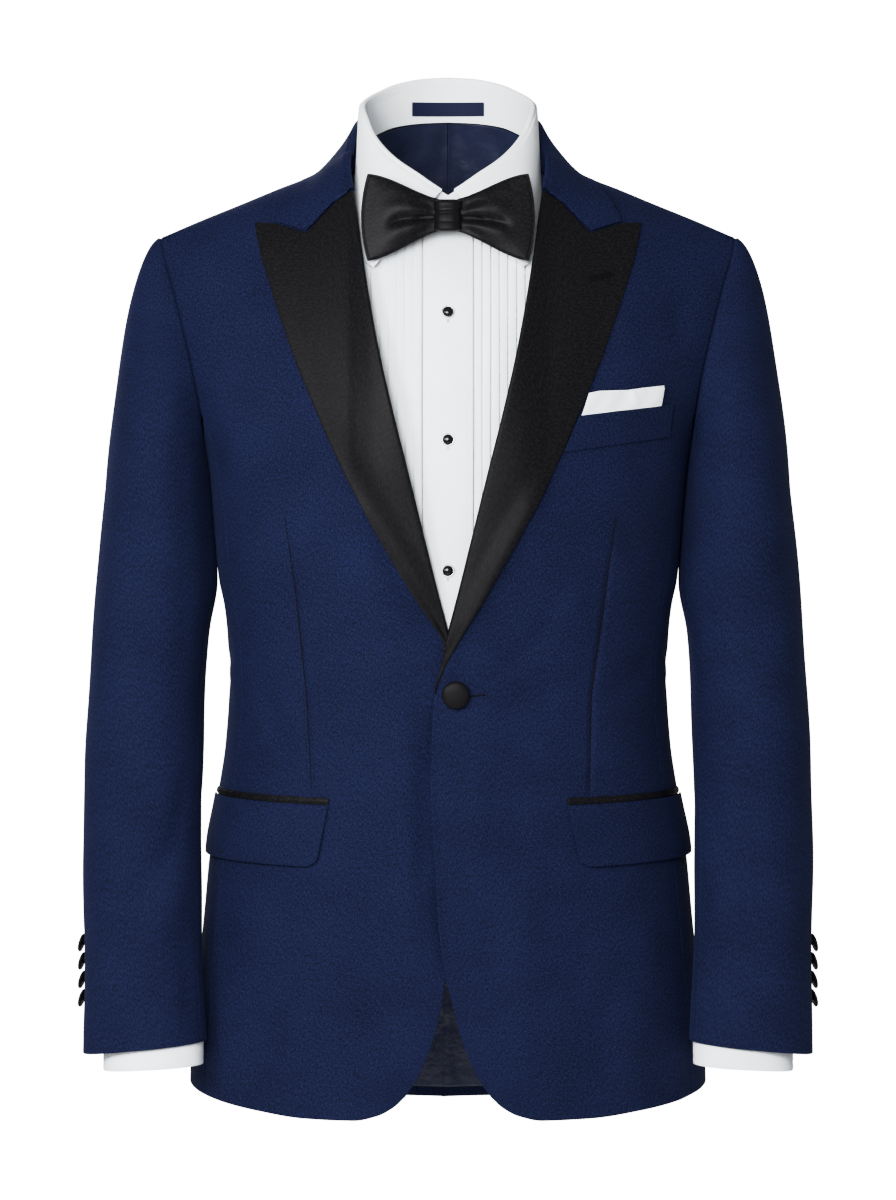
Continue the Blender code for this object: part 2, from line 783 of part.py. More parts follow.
def lapel(side, materials):
    foot = LEFT_LAPEL_FOOT if side > 0 else RIGHT_LAPEL_FOOT
    edge = path_through([GORGE_TOP, GORGE_MIDDLE, NOTCH, COLLAR_CORNER, PEAK])

    def roll_line(v):
        z = mix(GORGE_TOP[1], foot, v)
        x = front_edge_x(z) + 0.2 * MM
        if side < 0:
            x = max(x, 0.8 * MM - front_edge_x(z))
        return body_place(x, z)

    def outer_edge(v):
        z = mix(PEAK[1], foot, v)
        return body_place(lapel_outer_x[side](z), z)

    def top(u):
        return body_place(*edge(u))

    def tip(u):
        return tuple(mix(p, q, u) for p, q in zip(roll_line(1), outer_edge(1)))

    across = (0, 0.17, 0.35, 0.53, 0.69, 0.85, 1)
    places = patch(roll_line, outer_edge, top, tip, across, even_steps(16))
    name = "lapel_left" if side > 0 else "lapel_right"
    body_wall(name, places, SATIN_HEIGHT, SATIN, materials["satin"], side, shift=FRONT_SHIFT * side)


FoldPoint = namedtuple("FoldPoint", "x y z")
COLLAR_FOLD = (
    FoldPoint(0, 87, 50),
    FoldPoint(24, 83, 48.5),
    FoldPoint(45, 71.5, 45),
    FoldPoint(62, 52.5, 38.5),
    FoldPoint(73.5, 32, 28.5),
    FoldPoint(78, 10, 15.5),
    FoldPoint(79.6, -10, 2),
    FoldPoint(78.6, -28, -12),
    FoldPoint(76.2, -46, -26.2),
)
FallPoint = namedtuple("FallPoint", "x z back")
COLLAR_FALL = (
    FallPoint(0, 2, True),
    FallPoint(32, 0, True),
    FallPoint(62, -6, True),
    FallPoint(82, -17, True),
    FallPoint(98, -19, True),
    FallPoint(113, -15.2, True),
    FallPoint(121, -22, False),
    FallPoint(129.5, -37, False),
    FallPoint(136.9, -51.7, False),
)
COLLAR_HEIGHT = 2.6 * MM       # the fall's face above the body
COLLAR_CLOTH = 1.8 * MM
COLLAR_SAG = 3.5 * MM          # the fall hollows this much between fold and shoulder
COLLAR_ROWS = (0, 0.06, 0.2, 0.45, 0.72, 1)
COLLAR_END_FROM = 0.6          # from here along the fold on, the fall leans towards its front end
COLLAR_FLAT_FROM = 0.75        # and from here on it no longer hollows
STAND_SHARE = 0.62             # the stand ends this far along the fold, as it flattens in front
STAND_INSIDE = 3.5 * MM        # its top lies this far inside the fold
STAND_BELOW_FOLD = 1.5 * MM
STAND_CLEAR = 0.55 * MM        # above the neck seam
STAND_CLOTH = 1.2 * MM


def clear_of_body(point, least):
    """Moves a point straight out until it lies at least this far above the body."""
    if point.z >= ridge_height(abs(point.x)):
        return point
    turn = turn_at(point.x, point.z, point.y > 0)
    normal = body_normal(turn, point.z)
    height = (point - body_point(turn, point.z)).dot(normal)
    if height < least:
        return point + normal * (least - height)
    return point


def through_rows(rows, names):
    """A smooth space curve through a table's rows, from 0 at the first row to 1 at the last."""
    count = len(rows) - 1
    parts = [smooth_curve([(i / count, getattr(row, name) * MM) for i, row in enumerate(rows)])
             for name in names]
    return lambda share: Vector([part(share) for part in parts])


collar_fold = through_rows(COLLAR_FOLD, ("x", "y", "z"))


def fall_points():
    points = []
    for row in COLLAR_FALL:
        x, z = row.x * MM, min(row.z * MM, ridge_height(row.x * MM) - 0.01 * MM)
        place = body_place(x, z, row.back)
        points.append(body_point(*place) + body_normal(*place) * COLLAR_HEIGHT)
    count = len(points) - 1
    parts = [smooth_curve([(i / count, point[axis]) for i, point in enumerate(points)])
             for axis in range(3)]
    return lambda share: Vector([part(share) for part in parts])


collar_fall_edge = fall_points()


def collar_end(share):
    """The collar's front end: along the gorge to the notch, then out to the corner."""
    lift = Vector((0, COLLAR_GAP))
    path = path_through([tuple(Vector(p) + lift) for p in (GORGE_TOP, GORGE_MIDDLE, NOTCH)]
                        + [tuple(Vector(COLLAR_CORNER) + lift)])
    x, z = path(share)
    place = body_place(x, z)
    return body_point(*place) + body_normal(*place) * COLLAR_HEIGHT


def grid_normals(grid):
    """Normals of a grid of points, from the neighbours of each."""
    rows, columns = len(grid), len(grid[0])
    normals = []
    for i in range(rows):
        line = []
        for j in range(columns):
            down = grid[min(i + 1, rows - 1)][j] - grid[max(i - 1, 0)][j]
            across = grid[i][min(j + 1, columns - 1)] - grid[i][max(j - 1, 0)]
            line.append(down.cross(across).normalized())
        normals.append(line)
    return normals


def thick_grid(name, grid, thickness, material):
    """A wall whose outside is this grid; rows run down and columns run to the wearer's left."""
    normals = grid_normals(grid)
    inside = [[p - n * thickness for p, n in zip(row, line)] for row, line in zip(grid, normals)]
    return wall(name, grid, inside, material)


def both_ways(row):
    """A row for the left half, from the centre out, carried on across the centre to the right."""
    return [on_side(p, -1) for p in reversed(row[1:])] + list(row)


def collar(materials):
    """The fall, which turns down over the neck seam, and the stand inside it."""
    steps = 13
    halves = []
    for down in COLLAR_ROWS:
        row = []
        for i in range(steps + 1):
            share = i / steps
            point = collar_fold(share).lerp(collar_fall_edge(share), down)
            end_shift = collar_end(down) - collar_fold(1).lerp(collar_fall_edge(1), down)
            point += end_shift * ease(share, COLLAR_END_FROM, 1)
            point.z -= COLLAR_SAG * math.sin(math.pi * down) * (1 - ease(share, COLLAR_FLAT_FROM, 1))
            row.append(clear_of_body(point, COLLAR_HEIGHT))
        halves.append(both_ways(row))
    thick_grid("collar", halves, COLLAR_CLOTH, materials["wool"])

    stand = [[], []]
    for t in even_steps(8):
        fold = collar_fold(t * STAND_SHARE)
        inward = Vector((-fold.x, NECK_CENTRE_Y - fold.y, 0)).normalized()
        top = fold + inward * STAND_INSIDE - Vector((0, 0, STAND_BELOW_FOLD))
        x = min(fold.x, NECK_SIDE_X - 1 * MM)
        z = min(neck_height(x) + STAND_CLEAR, ridge_height(x))
        foot = body_point(*body_place(x, z, True)) + Vector((0, 0, STAND_CLEAR))
        stand[0].append(top)
        stand[1].append(foot)
    grid = [both_ways(row) for row in stand]
    grid.insert(1, [a.lerp(b, 0.5) for a, b in zip(*grid)])
    thick_grid("collar_stand", grid, STAND_CLOTH, materials["wool"])


# ---------------------------------------------------------------- pockets


def rounded_end(share, length, radius):
    """How far a rounded corner cuts into an edge, near both ends of it."""
    distance = min(share, 1 - share) * length
    if distance >= radius:
        return 0.0
    return radius - math.sqrt(radius ** 2 - (radius - distance) ** 2)


FLAP_FRONT_X = 93.7 * MM
FLAP_BACK_TURN = math.radians(87)
FLAP_TOP_FRONT = -509.3 * MM
FLAP_TOP_BACK = -505.3 * MM
FLAP_FOOT_FRONT = -558.3 * MM
FLAP_FOOT_BACK = -553 * MM
FLAP_CORNER = 10 * MM
FLAP_LENGTH = 142 * MM
FLAP_STANDS_OFF = 2.6 * MM      # at its lower edge
FLAP_SLANT = math.radians(1.6)          # its ends lean back by this much towards the foot
FLAP_COLUMNS = (0, 0.03, 0.075, 0.14, 0.284, 0.428, 0.572, 0.716, 0.86, 0.925, 0.97, 1)
JETTING_HEIGHT = 5.2 * MM
JETTING_CLOTH = 0.9 * MM
JETTING_BACK_TURN = math.radians(84)


def pocket(side, materials):
    """A flap that hangs from under a satin jetting, over the front and round the side panel."""
    end = "left" if side > 0 else "right"
    front_turn = turn_at(FLAP_FRONT_X, FLAP_TOP_FRONT)
    places = []
    for v in even_steps(3):
        row = []
        for u in FLAP_COLUMNS:
            top = mix(FLAP_TOP_FRONT, FLAP_TOP_BACK, u)
            foot = mix(FLAP_FOOT_FRONT, FLAP_FOOT_BACK, u) + rounded_end(u, FLAP_LENGTH, FLAP_CORNER)
            turn = mix(front_turn, FLAP_BACK_TURN, u) + FLAP_SLANT * v
            row.append((turn, mix(top, foot, v)))
        places.append(row)
    body_wall("flap_" + end, places, LAID + WOOL, WOOL, materials["wool"], side,
              lift=lambda v, u: SEAM + FLAP_STANDS_OFF * v)

    places = []
    for v in (0, 1):
        row = []
        for u in even_steps(10):
            foot = mix(FLAP_TOP_FRONT, FLAP_TOP_BACK, u) + SEAM
            row.append((mix(front_turn, JETTING_BACK_TURN, u), foot + JETTING_HEIGHT * (1 - v)))
        places.append(row)
    body_wall("jetting_" + end, places, LAID + JETTING_CLOTH, JETTING_CLOTH, materials["satin"],
              side)


WELT_TOP_BACK = (177.5 * MM, -194.8 * MM)
WELT_TOP_FRONT_Z = -203.6 * MM
WELT_FOOT_BACK = (174.2 * MM, -220.8 * MM)
WELT_FOOT_FRONT_Z = -232.4 * MM
WELT_CLOTH = 1.4 * MM
SQUARE_TOP = ((110.2, -187.6), (118.5, -185.9), (141, -185.2), (152, -183.6), (169.6, -181.6))
SQUARE_FOOT_BACK = (167.4 * MM, -195.0 * MM)
BESIDE_LAPEL = 1.0 * MM


def breast_pocket(materials):
    """A slanting welt beside the left lapel, and the folded square that stands in it."""
    front_top = (lapel_outer_x[1](WELT_TOP_FRONT_Z) + BESIDE_LAPEL, WELT_TOP_FRONT_Z)
    front_foot = (lapel_outer_x[1](WELT_FOOT_FRONT_Z) + BESIDE_LAPEL, WELT_FOOT_FRONT_Z)
    places = []
    for v in even_steps(2):
        row = []
        for u in even_steps(7):
            a = [mix(p, q, v) for p, q in zip(front_top, front_foot)]
            b = [mix(p, q, v) for p, q in zip(WELT_TOP_BACK, WELT_FOOT_BACK)]
            row.append(body_place(*[mix(p, q, u) for p, q in zip(a, b)]))
        places.append(row)
    body_wall("breast_welt", places, LAPEL_LAID + WELT_CLOTH, WELT_CLOTH, materials["wool"])

    top_edge = path_through([(x * MM, z * MM) for x, z in SQUARE_TOP])
    welt_slope = (WELT_TOP_BACK[1] - front_top[1]) / (WELT_TOP_BACK[0] - front_top[0])
    places = []
    for v in even_steps(3):
        row = []
        for u in even_steps(8):
            foot_x = mix(front_top[0] + 0.5 * MM, SQUARE_FOOT_BACK[0], u)
            foot = (foot_x, front_top[1] + welt_slope * (foot_x - front_top[0]) + 0.4 * MM)
            row.append(body_place(*[mix(p, q, v) for p, q in zip(top_edge(u), foot)]))
        places.append(row)
    body_wall("pocket_square", places, LAPEL_LAID + 1.6 * MM, 1.6 * MM, materials["poplin"])


# ---------------------------------------------------------------- buttons and studs


def turned(name, profile, segments, seat, axis, material):
    """A round piece: profile lists (radius, height) from its foot on the axis to its top."""
    vertices = []
    faces = []
    for radius, height in profile:
        for i in range(segments):
            angle = 2 * math.pi * i / segments
            vertices.append(Vector((radius * math.cos(angle), radius * math.sin(angle), height)))
    rings = len(profile)
    for ring in range(rings - 1):
        for i in range(segments):
            a = ring * segments + i
            b = ring * segments + (i + 1) % segments
            faces.append((a, b, b + segments, a + segments))
    faces.append(tuple(reversed(range(segments))))
    faces.append(tuple((rings - 1) * segments + i for i in range(segments)))
    turn = axis.to_track_quat("Z", "Y").to_matrix().to_4x4()
    place = Matrix.Translation(seat) @ turn
    return make_object(name, [place @ v for v in vertices], faces, material)


def domed_button(radius, thickness, shank_height, shank_radius):
    """The profile of a cloth covered button on its shank."""
    low = shank_height
    return (
        (shank_radius, 0),
        (shank_radius, low),
        (radius * 0.85, low),
        (radius, low + thickness * 0.35),
        (radius * 0.93, low + thickness * 0.68),
        (radius * 0.55, low + thickness * 0.94),
        (radius * 0.2, low + thickness),
    )


BUTTON_X = 6 * MM
BUTTON_Z = -422 * MM
BUTTON_RADIUS = 10.9 * MM


def front_button(materials):
    place = body_place(BUTTON_X, BUTTON_Z)
    normal = body_normal(*place)
    seat = body_point(*place) + normal * (FRONT_SHIFT + 0.35 * MM)
    profile = domed_button(BUTTON_RADIUS, 4.6 * MM, 2.9 * MM, 4 * MM)
    turned("front_button", profile, 18, seat, normal, materials["satin"])


SLEEVE_BUTTONS_TOP = -623 * MM
SLEEVE_BUTTON_STEP = 14.4 * MM
SLEEVE_BUTTON_RADIUS = 7.4 * MM
SLEEVE_BUTTON_PLACE = 0.965        # round the sleeve, just outward of the elbow seam
SLEEVE_BUTTON_TILT = math.radians(19)


def sleeve_buttons(side, materials):
    """Four covered buttons that lean on each other like roof tiles."""
    end = "left" if side > 0 else "right"
    profile = domed_button(SLEEVE_BUTTON_RADIUS, 2.8 * MM, 1.3 * MM, 1.6 * MM)
    for number in range(4):
        z = SLEEVE_BUTTONS_TOP - number * SLEEVE_BUTTON_STEP
        way = 1 + (CAP_BOTTOM - z) / (CAP_BOTTOM - sleeve_hem_z(SLEEVE_BUTTON_PLACE))
        seat = sleeve_point(SLEEVE_BUTTON_PLACE, way)
        out = sleeve_normal(SLEEVE_BUTTON_PLACE, way)
        lean = Matrix.Rotation(SLEEVE_BUTTON_TILT, 3, out.cross(Vector((0, 0, 1))).normalized())
        axis = lean @ out
        seat = seat + out * 1.1 * MM
        name = f"sleeve_button_{end}_{number + 1}"
        turned(name, profile, 10, on_side(seat, side), on_side(axis, side), materials["satin"])


# ---------------------------------------------------------------- shirt

NeckRing = namedtuple("NeckRing", "turn fold foot")   # turn in degrees from the front; heights
SHIRT_NECK = (
    NeckRing(0, -29, -57),
    NeckRing(10, -21.5, -53.5),
    NeckRing(20, -13.5, -48.5),
    NeckRing(37, -1.5, -36),
    NeckRing(60, 18, -14),
    NeckRing(77, 35, 0),
    NeckRing(90, 42, 8),
    NeckRing(110, 49, 16),
    NeckRing(125, 54, 22),
    NeckRing(142, 60.5, 27.5),
    NeckRing(164, 65.3, 30.7),
    NeckRing(180, 66.4, 31.5),
)
shirt_fold_z = column(SHIRT_NECK, "turn", "fold", place_scale=math.radians(1))
shirt_foot_z = column(SHIRT_NECK, "turn", "foot", place_scale=math.radians(1))
NECK_HALF_WIDTH = 67.4 * MM       # outside of the shirt's collar stand
NECK_HALF_DEPTH = 68.4 * MM


def neck_point(turn, height, out):
    """A point round the neck, out from the collar stand's outside."""
    x = (NECK_HALF_WIDTH + out) * math.sin(turn)
    y = NECK_CENTRE_Y - (NECK_HALF_DEPTH + out) * math.cos(turn)
    return Vector((x, y, height))


def neck_band(name, top, foot, out, thickness, columns, rows, material, start=0.0, end=2 * math.pi):
    """A band round the neck between two heights given as functions of the turn."""
    whole = end - start > 6.28
    outside, inside = [], []
    for v in even_steps(rows):
        outside_row, inside_row = [], []
        for i in range(columns if whole else columns + 1):
            turn = mix(start, end, i / columns)
            from_front = turn if turn <= math.pi else 2 * math.pi - turn
            height = mix(top(from_front), foot(from_front), v)
            outside_row.append(neck_point(turn, height, out))
            inside_row.append(neck_point(turn, height, out - thickness))
        outside.append(outside_row)
        inside.append(inside_row)
    return wall(name, outside, inside, material, round_way=whole)


LeafPoint = namedtuple("LeafPoint", "turn x y z")
LEAF_EDGE = (
    LeafPoint(180, 0, 77.3, 36),
    LeafPoint(150, 35.1, 67.7, 34),
    LeafPoint(125, 57.6, 46.9, 29.5),
    LeafPoint(105, 67.9, 24.4, 21),
    LeafPoint(90, 71, 6, 6),
    LeafPoint(75, 73, -11, -12),
    LeafPoint(55, 74, -36, -38),
    LeafPoint(40, 72, -58.5, -57),
    LeafPoint(25, 68, -70, -75),
    LeafPoint(12, 63.5, -77, -83.5),
    LeafPoint(4, 58.6, -82, -87.1),
)
LEAF_STEPS = 15
LEAF_OUT = 2.4 * MM              # the leaf's outside at the fold, out from the stand
LEAF_ROLL_FRONT = 1.8 * MM       # how far the leaf rolls out between its fold and its edge
LEAF_ROLL_BACK = 0.3 * MM
LABEL_TOP = 47.5 * MM
LABEL_FOOT = 36.3 * MM
LABEL_HALF_TURN = math.radians(26.3)
LABEL_CLEAR = 0.7 * MM
LABEL_CLOTH = 0.6 * MM


def shirt_collar(materials):
    neck_band("shirt_stand", lambda turn: shirt_fold_z(turn) - 0.8 * MM, shirt_foot_z, 0, POPLIN,
              28, 1, materials["poplin"])
    edge = [column(LEAF_EDGE, "turn", axis, place_scale=math.radians(1)) for axis in ("x", "y", "z")]
    grid = []
    for k in (0, 0.15, 0.42, 0.72, 1):
        row = []
        for i in range(LEAF_STEPS + 1):
            turn = mix(math.pi, math.radians(4), (i / LEAF_STEPS))
            fold = neck_point(turn, shirt_fold_z(turn), LEAF_OUT)
            foot = Vector([axis(turn) for axis in edge])
            out = Vector((math.sin(turn), -math.cos(turn), 0))
            roll = mix(LEAF_ROLL_FRONT, LEAF_ROLL_BACK, ease(turn, math.radians(50), math.radians(95)))
            row.append(fold.lerp(foot, k) + out * roll * math.sin(math.pi * k ** 0.6))
        grid.append(both_ways(row))
    thick_grid("shirt_leaf", grid, POPLIN, materials["poplin"])
    neck_band("neck_label", lambda turn: LABEL_TOP, lambda turn: LABEL_FOOT, -POPLIN - LABEL_CLEAR,
              LABEL_CLOTH, 8, 1, materials["label"], math.pi - LABEL_HALF_TURN,
              math.pi + LABEL_HALF_TURN)


FrontLevel = namedtuple("FrontLevel", "z y")
SHIRT_FRONT = (
    FrontLevel(-40, -58),
    FrontLevel(-57, -65.4),
    FrontLevel(-75, -75),
    FrontLevel(-95, -84),
    FrontLevel(-120, -92.5),
    FrontLevel(-160, -101.5),
    FrontLevel(-200, -107),
    FrontLevel(-260, -112),
    FrontLevel(-330, -115.5),
    FrontLevel(-430, -118.4),
    FrontLevel(-490, -119.9),
)
shirt_front_y = column(SHIRT_FRONT, "z", "y")
SHIRT_ROUNDNESS = 140 * MM        # half-width at which the shirt front would turn right back
PLACKET_HALF_WIDTH = 19.6 * MM
PLEAT_STEP = 6.8 * MM
PLEATS = 8
PLEAT_HEIGHT = 1.1 * MM
BIB_TOP = -57 * MM
BIB_FOOT = -488 * MM
PLACKET_TOP = -58 * MM
PLACKET_HEIGHT = 1.4 * MM
SHIRT_ROWS = (0, 0.05, 0.1, 0.17, 0.27, 0.42, 0.68, 1)


def shirt_point(x, z, out):
    bend = 1 - math.sqrt(1 - (x / SHIRT_ROUNDNESS) ** 2)
    y = shirt_front_y(z) * (1 - bend)
    slope = (shirt_front_y(z + 1 * MM) - shirt_front_y(z - 1 * MM)) / (2 * MM)
    side_slope = -shirt_front_y(z) * x / SHIRT_ROUNDNESS ** 2
    normal = Vector((side_slope, -1, slope)).normalized()
    return Vector((x, y, z)) + normal * out


def shirt_wall(name, columns, rows, material, thickness, side=1):
    """A wall on the shirt front; columns lists (x, height above the shirt) and rows the heights."""
    outside = [[on_side(shirt_point(x, z, out), side) for x, out in columns] for z in rows]
    inside = [[on_side(shirt_point(x, z, -thickness), side) for x, out in columns] for z in rows]
    return wall(name, outside, inside, material)


def shirt_front(materials):
    rows = [mix(BIB_TOP, BIB_FOOT, v) for v in SHIRT_ROWS]
    pleats = []
    for i in range(PLEATS):
        start = PLACKET_HALF_WIDTH + 0.4 * MM + i * PLEAT_STEP
        pleats += [(start + 0.2 * MM, 0.0), (start + PLEAT_STEP - 0.5 * MM, PLEAT_HEIGHT)]
    shirt_wall("bib_left", pleats, rows, materials["poplin"], POPLIN)
    shirt_wall("bib_right", pleats, rows, materials["poplin"], POPLIN, side=-1)
    rows = [mix(PLACKET_TOP, BIB_FOOT, v) for v in SHIRT_ROWS]
    placket = [(PLACKET_HALF_WIDTH * share, PLACKET_HEIGHT) for share in (-1, -0.5, 0, 0.5, 1)]
    shirt_wall("shirt_placket", placket, rows, materials["poplin"], POPLIN)


STUD_HEIGHTS = (-122.4 * MM, -222.4 * MM, -325.1 * MM)
STUD_PROFILE = (
    (4.9, 0), (4.9, 0.9), (4.2, 1.2), (4.0, 2.0), (3.2, 2.8), (1.6, 3.4), (0.6, 3.5),
)


def studs(materials):
    profile = [(radius * MM, height * MM) for radius, height in STUD_PROFILE]
    for number, z in enumerate(STUD_HEIGHTS):
        seat = shirt_point(0, z, PLACKET_HEIGHT + SEAM)
        normal = (shirt_point(0, z, 2 * MM) - shirt_point(0, z, 0)).normalized()
        turned(f"stud_{number + 1}", profile, 12, seat, normal, materials["stud"])


CUFF_INNER_X = 193.6 * MM
CUFF_OUTER_X = 272.8 * MM
CUFF_CLEAR = 0.7 * MM            # the cuff all but touches the sleeve along its inner side
CUFF_HALF_DEPTH = 32 * MM
CUFF_TOP = -669.5 * MM
CUFF_FOOT = -718.5 * MM
CUFF_TILT = 2.5 * MM
CUFF_BACK = 0.2 * MM             # the cuff lies this much back of the sleeve's middle


def shirt_cuff(side, materials):
    name = "shirt_cuff_left" if side > 0 else "shirt_cuff_right"
    reach = 2 / SLEEVE_POWER
    outside, inside = [], []
    for v in even_steps(2):
        outside_row, inside_row = [], []
        for i in range(20):
            angle = 2 * math.pi * i / 20
            z = mix(CUFF_TOP, CUFF_FOOT - CUFF_TILT * math.cos(angle), v)
            inner = max(CUFF_INNER_X, sleeve_inner(z) + WOOL_SLEEVE + CUFF_CLEAR)
            for row, inset in ((outside_row, 0), (inside_row, POPLIN)):
                half = (CUFF_OUTER_X - inner) / 2 - inset
                x = (CUFF_OUTER_X + inner) / 2 + half * signed_power(math.cos(angle), reach)
                y = (sleeve_centre_y(z) + CUFF_BACK
                     - (CUFF_HALF_DEPTH - inset) * signed_power(math.sin(angle), reach))
                row.append(Vector((x * side, y, z)))
        outside.append(outside_row)
        inside.append(inside_row)
    wall(name, outside, inside, materials["poplin"], round_way=True)


# ---------------------------------------------------------------- bow tie

BOW_CENTRE_Z = -47.5 * MM
BOW_CENTRE_Y = -84 * MM
BOW_LEAN = 0.18                  # the bow's lower edge lies further forward than its upper
KNOT_HALF_WIDTH = 12 * MM
KNOT_HALF_HEIGHT = 12.4 * MM
KNOT_RISE = 1.6 * MM               # the knot sits this much above the middle of the wings' tips
KNOT_BACK_Y = -66 * MM
KNOT_FRONT_Y = -93 * MM
BOW_TIP_X = 62 * MM
BOW_TIP_BULGE = 5 * MM
BOW_TIP_HALF_HEIGHT = 33 * MM
BOW_EDGE = 2.4 * MM
BOW_PUFF = 6.5 * MM
BOW_LAYER = 1.4 * MM
BAND_BELOW_FOLD = (20 * MM, 30 * MM)     # the tie's band lies between these, under the leaf
BAND_CLOTH = 0.6 * MM
BAND_OUT = 0.9 * MM
KnotLevel = namedtuple("KnotLevel", "width height")      # shares of the half width and half height
KNOT = (
    KnotLevel(0.86, -1),
    KnotLevel(0.98, -0.8),
    KnotLevel(0.97, -0.4),
    KnotLevel(0.94, 0),
    KnotLevel(0.97, 0.4),
    KnotLevel(0.98, 0.8),
    KnotLevel(0.86, 1),
)
KNOT_POINTS = 16


def bow_outline(u, v, grow=0.0):
    """A place on a wing: u from the knot to the tip, v from -1 at the foot to 1 at the top."""
    half = mix(KNOT_HALF_HEIGHT - 1 * MM, BOW_TIP_HALF_HEIGHT + grow, ease(u, -0.35, 1.05) ** 1.1)
    x = mix(KNOT_HALF_WIDTH + 0.4 * MM, BOW_TIP_X + grow + BOW_TIP_BULGE * (1 - v * v), u)
    z = BOW_CENTRE_Z + KNOT_RISE * (1 - u) + half * v
    y = BOW_CENTRE_Y + BOW_LEAN * (z - BOW_CENTRE_Z)
    return x, y, z


def bow_thickness(u, v):
    return BOW_EDGE + BOW_PUFF * math.sin(math.pi * min(u * 0.8 + 0.2, 1)) ** 0.7 * (1 - v * v) ** 0.5


def bow(materials):
    for side, end in ((1, "left"), (-1, "right")):
        wing_front, wing_back, layer_front, layer_back = [], [], [], []
        for i in range(7):
            v = 1 - i / 3
            front_row, back_row, layer_row, layer_back_row = [], [], [], []
            for u in even_steps(6):
                x, y, z = bow_outline(u, v)
                half = bow_thickness(u, v) / 2
                front_row.append(Vector((x * side, y - half, z)))
                back_row.append(Vector((x * side, y + half, z)))
                x, y, z = bow_outline(0.1 + 0.9 * u, v, 1.5 * MM)
                behind = y + half + 0.9 * MM
                layer_row.append(Vector((x * side, behind, z)))
                layer_back_row.append(Vector((x * side, behind + BOW_LAYER, z)))
            wing_front.append(front_row)
            wing_back.append(back_row)
            layer_front.append(layer_row)
            layer_back.append(layer_back_row)
        wall("bow_wing_" + end, wing_front, wing_back, materials["satin"])
        wall("bow_back_" + end, layer_front, layer_back, materials["satin"])
    middle_y = (KNOT_BACK_Y + KNOT_FRONT_Y) / 2
    half_depth = (KNOT_BACK_Y - KNOT_FRONT_Y) / 2
    vertices, faces = [], []
    for level in KNOT:
        for i in range(KNOT_POINTS):
            angle = 2 * math.pi * i / KNOT_POINTS
            x = KNOT_HALF_WIDTH * level.width * signed_power(math.cos(angle), 0.7)
            z = BOW_CENTRE_Z + KNOT_RISE + KNOT_HALF_HEIGHT * level.height
            lean = BOW_LEAN * (z - BOW_CENTRE_Z)
            y = middle_y + lean - half_depth * level.width * signed_power(math.sin(angle), 0.8)
            vertices.append(Vector((x, y, z)))
    for ring in range(len(KNOT) - 1):
        for i in range(KNOT_POINTS):
            a, b = ring * KNOT_POINTS + i, ring * KNOT_POINTS + (i + 1) % KNOT_POINTS
            faces.append((a, b, b + KNOT_POINTS, a + KNOT_POINTS))
    faces.append(tuple(reversed(range(KNOT_POINTS))))
    faces.append(tuple((len(KNOT) - 1) * KNOT_POINTS + i for i in range(KNOT_POINTS)))
    make_object("bow_knot", vertices, faces, materials["satin"])
    high, low = BAND_BELOW_FOLD
    neck_band("bow_band", lambda turn: shirt_fold_z(turn) - high,
              lambda turn: shirt_fold_z(turn) - low, BAND_OUT, BAND_CLOTH, 28, 1,
              materials["satin"])


def build():
    for old in list(bpy.data.objects):
        bpy.data.objects.remove(old, do_unlink=True)
    materials = make_materials()
    for side in (1, -1):
        front_panel(side, materials)
        side_panel(side, materials)
        back_panel(side, materials)
        back_lining(side, materials)
        sleeve(side, materials)
        lapel(side, materials)
        pocket(side, materials)
        sleeve_buttons(side, materials)
        shirt_cuff(side, materials)
    collar(materials)
    breast_pocket(materials)
    front_button(materials)
    shirt_collar(materials)
    shirt_front(materials)
    studs(materials)
    bow(materials)


build()
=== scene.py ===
"""Looks for the tuxedo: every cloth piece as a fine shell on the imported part's own surfaces."""
import math
from collections import namedtuple

import bpy
import numpy as np
from mathutils import Matrix, Vector


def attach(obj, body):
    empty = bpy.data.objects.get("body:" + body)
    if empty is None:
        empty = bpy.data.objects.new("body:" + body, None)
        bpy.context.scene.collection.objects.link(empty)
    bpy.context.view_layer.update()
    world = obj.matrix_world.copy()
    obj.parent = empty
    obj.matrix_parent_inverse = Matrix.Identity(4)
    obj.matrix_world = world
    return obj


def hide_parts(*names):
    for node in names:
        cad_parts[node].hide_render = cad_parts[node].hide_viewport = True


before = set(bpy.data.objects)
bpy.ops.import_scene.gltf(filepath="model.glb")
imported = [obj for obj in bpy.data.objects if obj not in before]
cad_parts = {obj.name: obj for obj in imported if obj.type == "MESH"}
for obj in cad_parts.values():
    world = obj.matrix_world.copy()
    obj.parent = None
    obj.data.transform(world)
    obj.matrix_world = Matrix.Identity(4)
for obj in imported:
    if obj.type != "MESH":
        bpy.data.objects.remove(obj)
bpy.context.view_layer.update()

MM = 0.001
SEAM = 0.3 * MM
LAID = 0.5 * MM
WOOL = 1.8 * MM
WOOL_BACK = 1.5 * MM
WOOL_SLEEVE = 1.5 * MM
SATIN = 1.6 * MM
LINING = 1.0 * MM
LINING_GAP = 2.0 * MM
POPLIN = 1.2 * MM

# ---------------------------------------------------------------- tables, in millimetres


def table(names, *rows):
    """Rows with named columns."""
    row_type = namedtuple("Row", names)
    return [row_type(*row) for row in rows]


